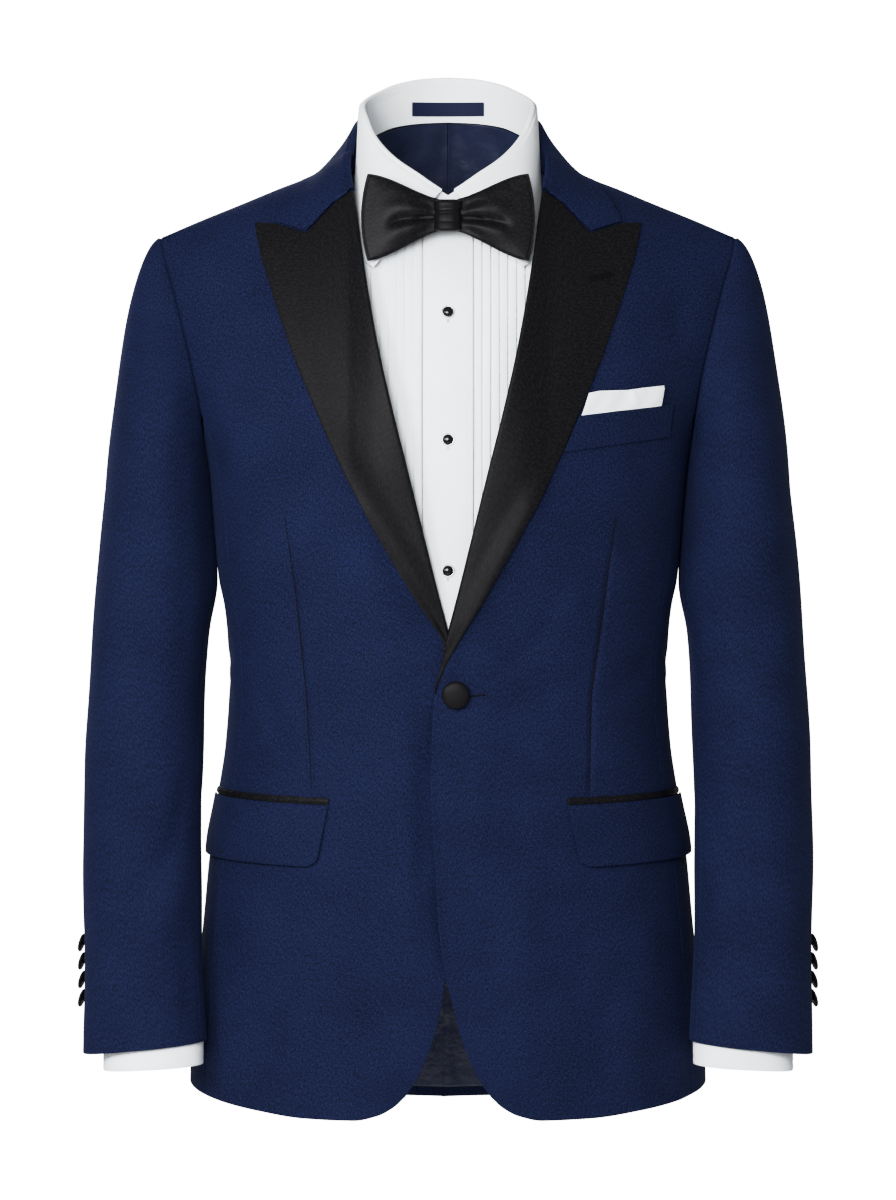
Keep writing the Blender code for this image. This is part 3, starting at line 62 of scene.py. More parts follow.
BODY = table(
    "z half_width front back",
    (110, 236, 124, 128), (-70, 236, 124, 128), (-100, 233, 124, 128), (-130, 228, 125, 129),
    (-160, 220, 126, 129), (-195, 206, 127, 128), (-216, 197.5, 127, 127), (-235, 192.8, 127, 125),
    (-251, 190.4, 127, 123), (-297, 186.6, 127, 117), (-336, 183.5, 126, 112),
    (-361, 179, 125.5, 110), (-384, 176.5, 125, 108.5), (-424, 175.2, 124.5, 108),
    (-464, 177.7, 124.5, 110), (-512, 184.8, 125.5, 115), (-576, 193.5, 127, 121),
    (-640, 199.5, 127.5, 125), (-726, 206.5, 127, 128), (-780, 207.5, 126, 128.5),
)
RING_POWER = 2.4

RIDGE = table(
    "x z",
    (0, 110), (20, 101), (40, 84), (55, 61), (68, 28), (78, 5.5), (92, -4.5), (112, -14.5),
    (134, -23), (165, -35.8), (196, -48.3), (226, -61), (240, -67),
)
FRONT_REACH = 330 * MM
BACK_REACH = 260 * MM
REACH_POWER = 1.8

FRONT_EDGE = table(
    "z x",
    (4, 79), (-12, 77.5), (-27, 76), (-45, 73), (-72, 69.3), (-107, 63.8), (-152, 55.5), (-199, 45),
    (-247, 33), (-304, 19), (-341, 9.8), (-376, 0.6), (-391, -2.9), (-405, -7), (-416, -9.9),
    (-433, -11.8), (-489, -13.5), (-567, -9.8), (-600, -7.8), (-622, -5.3), (-644, -1.4),
    (-661, 2.5), (-687, 9), (-705.5, 15.5), (-725, 24.6), (-738, 33.8),
)
UNDER_SHIFT = 3 * MM

HEM = table(
    "turn z",
    (6.5, -738), (8.7, -746.6), (12, -753.5), (17, -757.3), (29, -756.4), (43, -752), (57, -747),
    (70, -742), (88, -737), (110, -744), (140, -757), (180, -763),
)

ARMHOLE = table(
    "z front_x back_x",
    (-62.2, 229, 229), (-80, 225.5, 226.5), (-94, 221, 224), (-129, 211.6, 216), (-160, 204, 206.5),
    (-186, 198.9, 196), (-208, 195.4, 190),
)
UNDERARM_DIP = 25 * MM

SIDE_SEAMS = table(
    "z front back",
    (-208, 75, 110.8), (-300, 69, 117), (-430, 67, 120), (-780, 67, 118),
)

NECK_SEAM = table(
    "x z",
    (0, 34), (20, 33), (40, 30), (60, 22.5), (70, 13.5), (79, 3.6),
)

SLEEVE = table(
    "z outer inner centre_y half_depth",
    (-262, 273.8, 190.9, 3, 70), (-300, 278, 187.9, 0, 68), (-336, 280.8, 185.8, -4, 66),
    (-384, 284.3, 190.4, -11, 62), (-432, 286.9, 193.5, -20, 58), (-480, 289.1, 195, -30, 54),
    (-542, 290.1, 196, -44, 49), (-605, 288.9, 195.2, -58, 43.5), (-667, 288, 192.8, -71, 38.5),
    (-712, 288.8, 189.5, -79, 35.5),
)
SLEEVE_POWER = 2.2
SLEEVE_HEM = -702.6 * MM
SLEEVE_HEM_TILT = 5.2 * MM
FOREARM_SEAM = 0.43
ELBOW_SEAM = 0.93
SLEEVE_SEAM = 0.0012
ARMHOLE_GAP = 0.9 * MM

NECK_SIDE_X = 79 * MM
SHOULDER_X = 229 * MM
SHOULDER_SEAM = 0.5 * MM
SHOULDER_SHARE = 0.6
ARMHOLE_SHARE = 49 / 231
WAIST_Z = -400 * MM
LOW_SIDE_Z = -745 * MM
UNDER_SHIFT_HEIGHTS = (376 * MM, 433 * MM)
FRONT_SHIFT = 1.3 * MM
CROSSING = (18 * MM, 60 * MM)
LINING_SIDE_TURN = math.radians(124)
LINING_SHOULDER_X = 150 * MM
LINING_BELOW_RIDGE = 14 * MM
LINING_STRIP = 8 * MM
LINING_LAP = 4 * MM
NECK_CENTRE_Y = 6 * MM

# ---------------------------------------------------------------- helpers


def smooth_curve(places, values):
    """A monotone cubic through rows, for arrays."""
    order = np.argsort(places)
    x = np.array(places, float)[order]
    y = np.array(values, float)[order]
    h = np.diff(x)
    slope = np.diff(y) / h
    m = np.zeros(len(x))
    m[0], m[-1] = slope[0], slope[-1]
    for i in range(1, len(x) - 1):
        if slope[i - 1] * slope[i] > 0:
            a, b = 2 * h[i] + h[i - 1], h[i] + 2 * h[i - 1]
            m[i] = (a + b) / (a / slope[i - 1] + b / slope[i])

    def at(place):
        place = np.clip(np.asarray(place, float), x[0], x[-1])
        i = np.clip(np.searchsorted(x, place, side="right") - 1, 0, len(x) - 2)
        t = (place - x[i]) / h[i]
        blend = t * t * (3 - 2 * t)
        return (y[i] * (1 - blend) + y[i + 1] * blend + m[i] * h[i] * t * (1 - t) ** 2
                + m[i + 1] * h[i] * t * t * (t - 1))

    return at


def column(rows, place, value, scale=MM, place_scale=MM):
    return smooth_curve([getattr(row, place) * place_scale for row in rows],
                        [getattr(row, value) * scale for row in rows])


def signed_power(value, power):
    return np.sign(value) * np.abs(value) ** power


def ease(value, start, end):
    t = np.clip((value - start) / (end - start), 0, 1)
    return t * t * (3 - 2 * t)


def mix(a, b, share):
    return a * (1 - share) + b * share


def unit(v):
    return v / np.maximum(np.linalg.norm(v, axis=-1, keepdims=True), 1e-12)


def stack(*parts):
    return np.stack(np.broadcast_arrays(*parts), axis=-1)


UP = np.array((0, 0, 1.0))


def raised(points, normals, height):
    return points + normals * np.asarray(height)[..., None]


def hump(value, centre, width):
    """1 at the centre, and less and less to both sides."""
    return np.exp(-((value - centre) / width) ** 2)


def circle(count):
    return np.arange(count) * 2 * math.pi / count


def end_of(side):
    return "left" if side > 0 else "right"


def degree_column(rows, value):
    return column(rows, "turn", value, place_scale=math.radians(1))


half_width = column(BODY, "z", "half_width")
front_depth = column(BODY, "z", "front")
back_depth = column(BODY, "z", "back")
ridge_height = column(RIDGE, "x", "z")
front_edge_x = column(FRONT_EDGE, "z", "x")
hem_height = degree_column(HEM, "z")
armhole_front_x = column(ARMHOLE, "z", "front_x")
armhole_back_x = column(ARMHOLE, "z", "back_x")
side_seam_front = column(SIDE_SEAMS, "z", "front", scale=math.radians(1))
side_seam_back = column(SIDE_SEAMS, "z", "back", scale=math.radians(1))
neck_height = column(NECK_SEAM, "x", "z")

# ---------------------------------------------------------------- the body's surface


def body_point(turn, z):
    x = half_width(z) * signed_power(np.sin(turn), 2 / RING_POWER)
    facing = np.cos(turn)
    depth = np.where(facing > 0, front_depth(z), back_depth(z))
    reach = mix(FRONT_REACH, BACK_REACH, ease(np.abs(turn), *np.radians((60, 120))))
    drop = np.clip(ridge_height(np.abs(x)) - z, 0, reach)
    rounding = (1 - (1 - drop / reach) ** REACH_POWER) ** (1 / REACH_POWER)
    y = -depth * signed_power(facing, 2 / RING_POWER) * rounding
    return stack(x, y, z)


def body_normal(turn, z):
    step_turn, step_z = 0.004, 0.4 * MM
    across = body_point(turn + step_turn, z) - body_point(turn - step_turn, z)
    down = body_point(turn, z - step_z) - body_point(turn, z)
    return unit(np.cross(down, across))


def turn_at(x, z, back=False):
    share = np.minimum(np.abs(x) / half_width(z), 1.0)
    turn = np.copysign(np.arcsin(share ** (RING_POWER / 2)), x)
    return math.pi - turn if back else turn


def overlap_shift(turn, z, amount):
    x = np.abs(body_point(turn, z)[..., 0])
    return amount * (1 - ease(x, *CROSSING))


def shoulder_place(x, back=False):
    z = ridge_height(x)
    depth = back_depth(z) if back else front_depth(z)
    depth = depth * (1 - (x / half_width(z)) ** RING_POWER) ** (1 / RING_POWER)
    reach = BACK_REACH if back else FRONT_REACH
    z = z - reach * (1 - (1 - (SHOULDER_SEAM / depth) ** REACH_POWER) ** (1 / REACH_POWER))
    return turn_at(x, z, back), z


SHOULDER_Z = float(shoulder_place(SHOULDER_X)[1])
FRONT_HEM_TURN = float(side_seam_front(LOW_SIDE_Z))
BACK_HEM_TURN = float(side_seam_back(LOW_SIDE_Z))


def front_level(share):
    return mix(SHOULDER_Z, hem_height(FRONT_HEM_TURN), share)


def back_level(share):
    return mix(SHOULDER_Z, hem_height(BACK_HEM_TURN), share)


ARMHOLE_FRONT_Z = float(front_level(ARMHOLE_SHARE))
ARMHOLE_BACK_Z = float(back_level(ARMHOLE_SHARE))


def patch(near, far, top, bottom, across, down):
    """Places (turn, z) inside four edges, on a grid of down rows and across columns."""
    u = np.asarray(across)[None, :, None]
    v = np.asarray(down)[:, None, None]
    n, f = stack(*near(down))[:, None], stack(*far(down))[:, None]
    t, b = stack(*top(across))[None], stack(*bottom(across))[None]
    corners = ((1 - u) * (1 - v) * n[:1] + u * (1 - v) * f[:1]
               + (1 - u) * v * n[-1:] + u * v * f[-1:])
    grid = (1 - u) * n + u * f + (1 - v) * t + v * b - corners
    return grid[..., 0], grid[..., 1]


def path_through(points):
    points = np.array(points, float)
    lengths = np.concatenate([[0], np.cumsum(np.linalg.norm(np.diff(points, axis=0), axis=1))])

    def at(share):
        goal = np.asarray(share) * lengths[-1]
        return np.stack([np.interp(goal, lengths, points[:, k]) for k in range(points.shape[1])], -1)

    return at


EDGE_STEPS = np.array((0.35, 0.8, 1.4, 2.2, 3.4)) * MM


def steps(count, length, start=True, end=True):
    """Shares from 0 to 1, closer together at the edges, where the cloth rolls under."""
    near = EDGE_STEPS / length
    low = near[-1] if start else 0.0
    high = 1 - near[-1] if end else 1.0
    middle = np.linspace(low, high, count + 1)
    parts = [[0.0], middle, [1.0]]
    if start:
        parts.append(near)
    if end:
        parts.append(1 - near)
    return np.unique(np.round(np.concatenate(parts), 9))

# ---------------------------------------------------------------- folds in the cloth

FOLD = "x0 z0 x1 z1 bow width height"        # in millimetres; a height below 0 is a trough


def fold_height(x, z, folds):
    """Sum of soft ridges and troughs, each along a bowed line that fades out at both ends."""
    total = np.zeros(np.broadcast(x, z).shape)
    for f in folds:
        dx, dz = (f.x1 - f.x0) * MM, (f.z1 - f.z0) * MM
        length = math.hypot(dx, dz)
        dx, dz = dx / length, dz / length
        s = ((x - f.x0 * MM) * dx + (z - f.z0 * MM) * dz) / length
        bow = 4 * f.bow * MM * np.clip(s, 0, 1) * (1 - np.clip(s, 0, 1))
        t = (z - f.z0 * MM) * dx - (x - f.x0 * MM) * dz - bow
        ends = ease(s, -0.12, 0.3) * (1 - ease(s, 0.7, 1.12))
        total += f.height * MM * ends * np.exp(-0.5 * (t / (f.width * MM)) ** 2)
    return total


# A front's folds; x is counted from the centre outward.
RIGHT_FRONT_FOLDS = table(
    FOLD,
    (60, -292, 6, -386, 3, 6, -1.9), (36, -318, 16, -378, 0, 7, 1.0),
    (92, -359, 38, -386, 4, 7, -1.3), (148, -416, 124, -470, 3, 7, -1.5),
    (18, -452, 19, -582, 0, 6, -1.7), (61, -610, 59, -690, -3, 13, -1.6),
    (14, -678, 19, -708, 0, 8, 1.1), (176, -650, 178, -715, 0, 9, 1.3),
    (150, -150, 140, -290, 8, 20, 1.4), (178, -300, 160, -400, 8, 9, -1.3),
    (110, -590, 105, -720, 6, 15, 1.2), (150, -640, 146, -742, 3, 11, -1.1),
    (33, -640, 35, -740, 2, 9, 0.8), (196, -92, 182, -150, -6, 7, -1.0),
    (125, -70, 150, -130, 8, 12, -0.9),
)
LEFT_FRONT_FOLDS = table(
    FOLD,
    (32, -411, 88, -350, -6, 6, -1.5), (45, -425, 120, -402, -4, 6, -1.1),
    (54, -383, 110, -330, -6, 7, 0.9), (119, -428, 166, -388, -4, 7, -1.2),
    (130, -270, 150, -322, 4, 8, -1.2), (143, -235, 162, -268, 3, 8, -0.9),
    (104, -606, 101, -670, 3, 12, -1.4), (55, -560, 52, -735, 8, 12, 1.2),
    (150, -600, 148, -735, 4, 13, 1.1), (128, -640, 124, -745, -3, 9, -1.0),
    (24, -470, 22, -600, 0, 8, 0.8), (176, -300, 168, -420, 8, 9, -1.2),
    (196, -92, 184, -150, -6, 7, -1.0), (150, -110, 158, -185, -8, 12, 1.0),
    (185, -480, 180, -560, 4, 8, -1.0),
)
# Seen from outside, x is the way round from the side seam of the front, on both sides alike.
SIDE_FOLDS = table(
    FOLD,
    (18, -250, 40, -330, 4, 9, -1.6), (60, -300, 30, -400, -5, 8, -1.5),
    (14, -392, 78, -420, 4, 6, -1.4), (20, -430, 80, -402, 3, 6, -1.0),
    (45, -560, 52, -735, 5, 11, -1.6), (18, -600, 22, -735, 3, 9, 1.3),
    (74, -610, 76, -740, -4, 9, 1.0),
)
BACK_FOLDS = table(
    FOLD,
    (150, -120, 132, -250, 12, 14, -1.9), (120, -150, 112, -300, 8, 13, 1.5),
    (175, -195, 150, -300, 6, 9, -1.6), (100, -365, 165, -395, -6, 8, -1.6),
    (60, -380, 150, -430, -8, 9, -1.7), (20, -405, 90, -418, 5, 8, -1.2),
    (90, -440, 60, -560, 8, 14, 1.5), (120, -560, 112, -745, -5, 13, -1.9),
    (60, -600, 57, -752, 4, 14, 1.6), (22, -560, 24, -750, 3, 10, -1.0),
    (60, -30, 140, -85, -10, 12, -1.3), (30, -60, 60, -230, 8, 16, 0.9),
)
LINING_FOLDS = table(
    FOLD,
    (6, 34, 16, -8, 3, 5, 2.6), (22, 30, 14, -34, -4, 4.5, -2.4), (30, 26, 44, 2, 3, 5, 2.4),
    (40, 8, 22, -34, 4, 4, -2.6), (10, -8, 6, -40, 1, 3, 1.4), (56, 22, 50, -20, -3, 4.5, -1.8),
    (55, -8, 85, -80, 4, 6, -1.0), (20, -80, 24, -240, 5, 7, 0.9), (60, -120, 70, -320, 8, 9, -0.9),
    (18, -640, 24, -752, 2, 4, 0.8), (34, -650, 30, -750, -2, 4, -0.8),
    (48, -660, 62, -750, 4, 5, 0.8), (8, -690, 46, -722, 3, 4, 0.6), (70, -640, 66, -750, 3, 6, -0.8),
)
DART_LEFT = ((132, -283), (123, -358), (113.5, -425), (112, -498))
DART_RIGHT = ((128, -284), (121, -342), (112, -427), (109, -482), (108.5, -497))
DART_WIDTH = 1.5 * MM
DART_DEPTH = 1.7 * MM
FRONT_FOLDS = {1: LEFT_FRONT_FOLDS, -1: RIGHT_FRONT_FOLDS}
DARTS = {1: DART_LEFT, -1: DART_RIGHT}
FRONT_FOLD_STRENGTH = 1.5
FRONT_ENDS = np.radians((60, 68))        # where a front's folds give way to the side's
SIDE_ENDS = np.radians((120, 128))
BACK_STARTS = np.radians((112, 124))


def line_distance(x, z, points):
    """Distance to a polyline, and how far along it the nearest place is, from 0 to 1."""
    best = np.full(np.broadcast(x, z).shape, 1e9)
    where = np.zeros_like(best)
    points = np.array(points, float) * MM
    parts = len(points) - 1
    for i in range(parts):
        a, b = points[i], points[i + 1]
        d = b - a
        t = np.clip(((x - a[0]) * d[0] + (z - a[1]) * d[1]) / d.dot(d), 0, 1)
        distance = np.hypot(x - a[0] - t * d[0], z - a[1] - t * d[1])
        closer = distance < best
        best = np.where(closer, distance, best)
        where = np.where(closer, (i + t) / parts, where)
    return best, where


def dart_height(x, z, points):
    """A dart: a stitched line that starts at nothing, with the cloth pulled down beside it."""
    distance, share = line_distance(x, z, points)
    start = ease(share, 0.0, 0.25)
    line = np.exp(-0.5 * (distance / DART_WIDTH) ** 2) * DART_DEPTH
    around = np.exp(-0.5 * (distance / (9 * MM)) ** 2) * 0.9 * MM
    return -(line + around) * start


def front_relief(turn, z, side):
    """Folds of a front; what lies on the front moves with them."""
    x = np.abs(body_point(turn, z)[..., 0])
    height = fold_height(x, z, FRONT_FOLDS[side]) * FRONT_FOLD_STRENGTH
    height = height + dart_height(x, z, DARTS[side])
    drape = np.sin(x / (21 * MM) + z / (0.4) + side) * ease(-z, 0.5, 0.74) * 0.7 * MM
    at_side = 1 - ease(turn, *FRONT_ENDS)
    return (height + drape) * at_side + side_relief(turn, z) * (1 - at_side)


def beside_lapel(turn, z, side):
    """The left front swells along its lapel's lower edge; the right one sinks beside its own."""
    x = np.abs(body_point(turn, z)[..., 0])
    from_edge = (x - lapel_outer_x[side](z)) * 0.8
    along = ease(-z, 0.20, 0.30) * (1 - ease(-z, 0.395, 0.43))
    if side > 0:
        return 3.4 * MM * along * hump(from_edge, -4 * MM, 9 * MM)
    return -4 * MM * along * hump(from_edge, -6 * MM, 10 * MM)


def under_the_edge(turn, z, side):
    """The right front dips where the left front's edge crosses it; that edge is a little raised."""
    x = body_point(turn, z)[..., 0]
    along = ease(-z, 0.40, 0.46) * (1 - ease(-z, 0.60, 0.70))
    if side > 0:
        return 0.9 * MM * along * hump(x, front_edge_x(z), 3 * MM)
    from_edge = x + front_edge_x(z)
    ridge, dip = hump(from_edge, 21 * MM, 9 * MM), hump(from_edge, -7 * MM, 10 * MM)
    return along * (1.6 * MM * ridge - 5.2 * MM * dip)


def side_relief(turn, z):
    """Folds from the front's side edge on, round the side panel to the back."""
    round_way = (turn - math.radians(64)) * 0.1
    fade = ease(-z, 0.31, 0.37) * ease(turn, *FRONT_ENDS) * (1 - ease(turn, *SIDE_ENDS))
    return fold_height(round_way, z, SIDE_FOLDS) * fade


def back_relief(turn, z, side):
    x = np.abs(body_point(turn, z)[..., 0])
    at_back = ease(turn, *BACK_STARTS)
    sway = 0.85 if side < 0 else 1.0
    uneven = 1 + 0.2 * np.sin(z * 31 + side * 1.3)
    drape = np.sin(x / (24 * MM) + side * 0.8) * ease(-z, 0.45, 0.75) * 0.8 * MM
    height = fold_height(x + (2 * MM if side < 0 else 0), z, BACK_FOLDS) * sway * uneven + drape
    centre = 1 - 0.6 * hump(x, 0, 7 * MM)
    return height * at_back * centre + side_relief(turn, z) * (1 - at_back)


# ---------------------------------------------------------------- cloth shells

Edges = namedtuple("Edges", "top foot start end")
FREE = (1.7 * MM, 0.42, 0.42)        # reach of the rounding, and how far each face turns in
SEWN = (1.9 * MM, 0.5, 0.0)
PLAIN = (1.0 * MM, 0.0, 0.0)


def run_length(grid, axis):
    part = np.linalg.norm(np.diff(grid, axis=axis), axis=-1)
    first = np.zeros_like(np.take(part, [0], axis=axis))
    return np.concatenate([first, np.cumsum(part, axis=axis)], axis=axis)


def grid_normals(grid):
    down = np.gradient(grid, axis=0)
    across = np.gradient(grid, axis=1)
    return unit(np.cross(down, across))


def grid_area(grid):
    a, b = np.diff(grid, axis=0)[:, :-1], np.diff(grid, axis=1)[:-1]
    return float(np.linalg.norm(np.cross(a, b), axis=-1).sum())


def turn_in(grid, edges):
    """How much of its thickness the outer and the inner face lose near each edge."""
    s, d = run_length(grid, 1), run_length(grid, 0)
    outer = np.zeros(grid.shape[:2])
    inner = np.zeros(grid.shape[:2])
    for distance, (reach, out_share, in_share) in (
        (d, edges.top), (d[-1:] - d, edges.foot), (s, edges.start), (s[:, -1:] - s, edges.end),
    ):
        near = 1 - np.clip(distance / reach, 0, 1)
        bend = 1 - np.sqrt(1 - near ** 2)
        outer = np.maximum(outer, bend * out_share)
        inner = np.maximum(inner, bend * in_share)
    return outer, inner


def mesh_object(name, vertices, faces, materials, uv=None, material_index=None):
    mesh = bpy.data.meshes.new(name)
    mesh.from_pydata(np.asarray(vertices).tolist(), [], [list(map(int, f)) for f in faces])
    for material in materials:
        mesh.materials.append(material)
    if uv is not None:
        layer = mesh.uv_layers.new(name="cloth")
        loops = np.empty(len(mesh.loops), dtype=np.int32)
        mesh.loops.foreach_get("vertex_index", loops)
        layer.data.foreach_set("uv", np.asarray(uv, dtype=np.float32)[loops].ravel())
    if material_index is not None:
        mesh.polygons.foreach_set("material_index", np.asarray(material_index, dtype=np.int32))
    mesh.shade_smooth()
    mesh.update()
    piece = bpy.data.objects.new(name, mesh)
    bpy.context.scene.collection.objects.link(piece)
    return piece


TUCK = ((0.7 * MM, 0.9 * MM), (2.2 * MM, 1.7 * MM), (5 * MM, 2.3 * MM))   # beyond it, and below
TUCK_CLOTH = 0.5 * MM


def carry_on(grids, normals, where):
    """Carries a sewn edge on below its neighbour, as a seam allowance lies."""
    outside, face, back = grids
    axis = 0 if where in ("top", "foot") else 1
    first = where in ("top", "start")

    def pick(grid, i):
        return np.take(grid, [i if first else -1 - i], axis=axis)

    def join(grid, extra):
        return np.concatenate(extra[::-1] + [grid] if first else [grid] + extra, axis=axis)

    edge, normal = pick(outside, 0), pick(normals, 0)
    way = edge - pick(outside, 3)
    way = unit(way - normal * (way * normal).sum(-1, keepdims=True))
    extra = [edge + way * out - normal * down for out, down in TUCK]
    below = [p - normal * TUCK_CLOTH for p in extra]
    grids = (join(outside, extra), join(face, extra), join(back, below))
    return grids, join(normals, [normal] * len(TUCK))


def shell(name, outside, normals, thickness, material, edges=None, closed=False, side=1,
          tucks=()):
    """A closed shell of cloth below this grid; each edge is rounded as its kind says."""
    edges = edges or Edges(FREE, FREE, FREE, FREE)
    if closed:
        ring = np.concatenate([outside, outside[:, :1]], axis=1)
        out_loss, in_loss = (loss[:, :-1] for loss in
                             turn_in(ring, Edges(edges.top, edges.foot, PLAIN, PLAIN)))
    else:
        out_loss, in_loss = turn_in(outside, edges)
    thickness = np.broadcast_to(thickness, outside.shape[:2])[..., None]
    face = outside - normals * thickness * out_loss[..., None]
    back = outside - normals * thickness * (1 - in_loss[..., None])
    for where in tucks:
        (outside, face, back), normals = carry_on((outside, face, back), normals, where)
    rows, columns = outside.shape[:2]
    mirror = np.array((side, 1, 1))
    vertices = np.concatenate([face.reshape(-1, 3), back.reshape(-1, 3)]) * mirror
    count = rows * columns
    number = np.arange(count).reshape(rows, columns)
    right = np.roll(number, -1, axis=1) if closed else number[:, 1:]
    left = number if closed else number[:, :-1]
    quads = np.stack([left[:-1], right[:-1], right[1:], left[1:]], -1).reshape(-1, 4)
    mid = len(quads) // 2
    a, b, c = vertices[quads[mid, 0]], vertices[quads[mid, 1]], vertices[quads[mid, 3]]
    out = (normals.reshape(-1, 3) * mirror)[quads[mid, 0]]
    flipped = np.dot(np.cross(b - a, c - a), out) < 0
    if flipped:
        quads = quads[:, ::-1]
    rim = []

    def close(line):
        rim.append(np.stack([line[:-1], line[1:], line[1:] + count, line[:-1] + count], -1))

    def loop(line):
        return np.append(line, line[0]) if closed else line

    close(loop(number[0])[::-1])
    close(loop(number[-1]))
    if not closed:
        close(number[:, 0])
        close(number[:, -1][::-1])
    rim = np.concatenate(rim)
    if not flipped:
        rim = rim[:, ::-1]
    faces = np.concatenate([quads, quads[:, ::-1] + count, rim])
    s, d = run_length(outside, 1), run_length(outside, 0)
    s = s - s[:, columns // 2:columns // 2 + 1]
    uv = np.stack([s, -d], -1).reshape(-1, 2)
    piece = mesh_object(name, vertices, faces, [material], np.concatenate([uv, uv]))
    width, length = float(s.max(1).max() - s.min(1).min()), float(d[-1].max())
    if closed:
        width += float(np.linalg.norm(outside[:, -1] - outside[:, 0], axis=-1).max())
    piece["cut"] = [width, length, grid_area(ring if closed else outside)]
    return piece


NARROWEST = 10.1 * MM


def declare(piece, nodes, rests_on=(), sheet=True):
    """The piece rides on the one body and stands for its nodes, which are hidden."""
    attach(piece, "root")
    if nodes:
        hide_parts(*nodes)
    if not sheet:
        return piece
    width, length, area = piece["cut"]
    grow = max(1.0, math.sqrt(area / (width * length)) * 1.002)
    width, length = max(width * grow, NARROWEST), max(length * grow, NARROWEST)
    return piece


def body_shell(name, turn, z, height, thickness, material, side=1, edges=None, tucks=()):
    """Cloth at this height over the body's surface."""
    normals = body_normal(turn, z)
    outside = raised(body_point(turn, z), normals, np.broadcast_to(height, turn.shape))
    return shell(name, outside, normals, thickness, material, edges, side=side, tucks=tucks)


def on_body(turn, z, height):
    return raised(body_point(turn, z), body_normal(turn, z), height)

# ---------------------------------------------------------------- jacket body


PANEL_LENGTH = 680 * MM


def shoulder_rows(count, close):
    """Rows close together at the shoulder, where the cloth turns over, and at the hem's edge."""
    i = np.arange(count + 1)
    steep = close * close + 2 * close * (i - close)
    rows = np.where(i <= close, i * i, steep) / (close * close + 2 * close * (count - close))
    near = EDGE_STEPS / PANEL_LENGTH
    return np.unique(np.concatenate([rows[rows < 1 - near[-1] * 1.1], 1 - near, [1.0], [near[0]]]))


def front_panel(side, cloth):
    neck_z = float(shoulder_place(NECK_SIDE_X)[1])
    corner_z = FRONT_EDGE[-1].z * MM
    corner_turn = float(turn_at(front_edge_x(corner_z), corner_z))

    def free_edge(v):
        z = mix(neck_z, corner_z, v)
        x = front_edge_x(z)
        if side < 0:
            x = x - UNDER_SHIFT * ease(-z, *UNDER_SHIFT_HEIGHTS)
        return turn_at(x, z), z

    def outer_edge(v):
        z = front_level(v)
        turn = np.where(v < ARMHOLE_SHARE, turn_at(armhole_front_x(z), z), side_seam_front(z))
        return turn, z

    def shoulder(u):
        return shoulder_place(mix(NECK_SIDE_X, SHOULDER_X, u))

    def hem(u):
        turn = mix(corner_turn, FRONT_HEM_TURN, u)
        return turn, hem_height(turn)

    across = steps(118, 0.17) ** 1.08
    turn, z = patch(free_edge, outer_edge, shoulder, hem, across, shoulder_rows(170, 58))
    height = (overlap_shift(turn, z, FRONT_SHIFT * side) + front_relief(turn, z, side)
              + beside_lapel(turn, z, side) + under_the_edge(turn, z, side))
    end = end_of(side)
    piece = body_shell("cloth_front_" + end, turn, z, height, WOOL, cloth["wool"], side,
                       Edges(SEWN, FREE, FREE, SEWN), ("end",))
    declare(piece, ["front_" + end], ["side_panel_" + end])


def underarm_z(share):
    return (mix(ARMHOLE_FRONT_Z, ARMHOLE_BACK_Z, share)
            - UNDERARM_DIP * np.sin(math.pi * share))


def side_panel(side, cloth):
    front_gap = SEAM / float(half_width(WAIST_Z))

    def front_seam(v):
        z = mix(ARMHOLE_FRONT_Z, front_level(1), v)
        return side_seam_front(z) + front_gap, z

    def back_seam(v):
        z = mix(ARMHOLE_BACK_Z, back_level(1), v)
        return side_seam_back(z) - 2 * front_gap, z

    def top(u):
        return mix(front_seam(0)[0], back_seam(0)[0], u), underarm_z(u)

    def hem(u):
        turn = mix(front_seam(1)[0], back_seam(1)[0], u)
        return turn, hem_height(turn)

    turn, z = patch(front_seam, back_seam, top, hem, steps(34, 0.1), steps(104, 0.55))
    height = mix(front_relief(turn, z, side), back_relief(turn, z, side),
                 ease(turn, *np.radians((90, 94))))
    end = end_of(side)
    piece = body_shell("cloth_side_panel_" + end, turn, z, height, WOOL, cloth["wool"], side,
                       Edges(SEWN, FREE, SEWN, SEWN))
    declare(piece, ["side_panel_" + end], ["back_" + end])


def turn_beside_centre(gap):
    return math.pi - (gap / float(half_width(WAIST_Z))) ** (RING_POWER / 2)


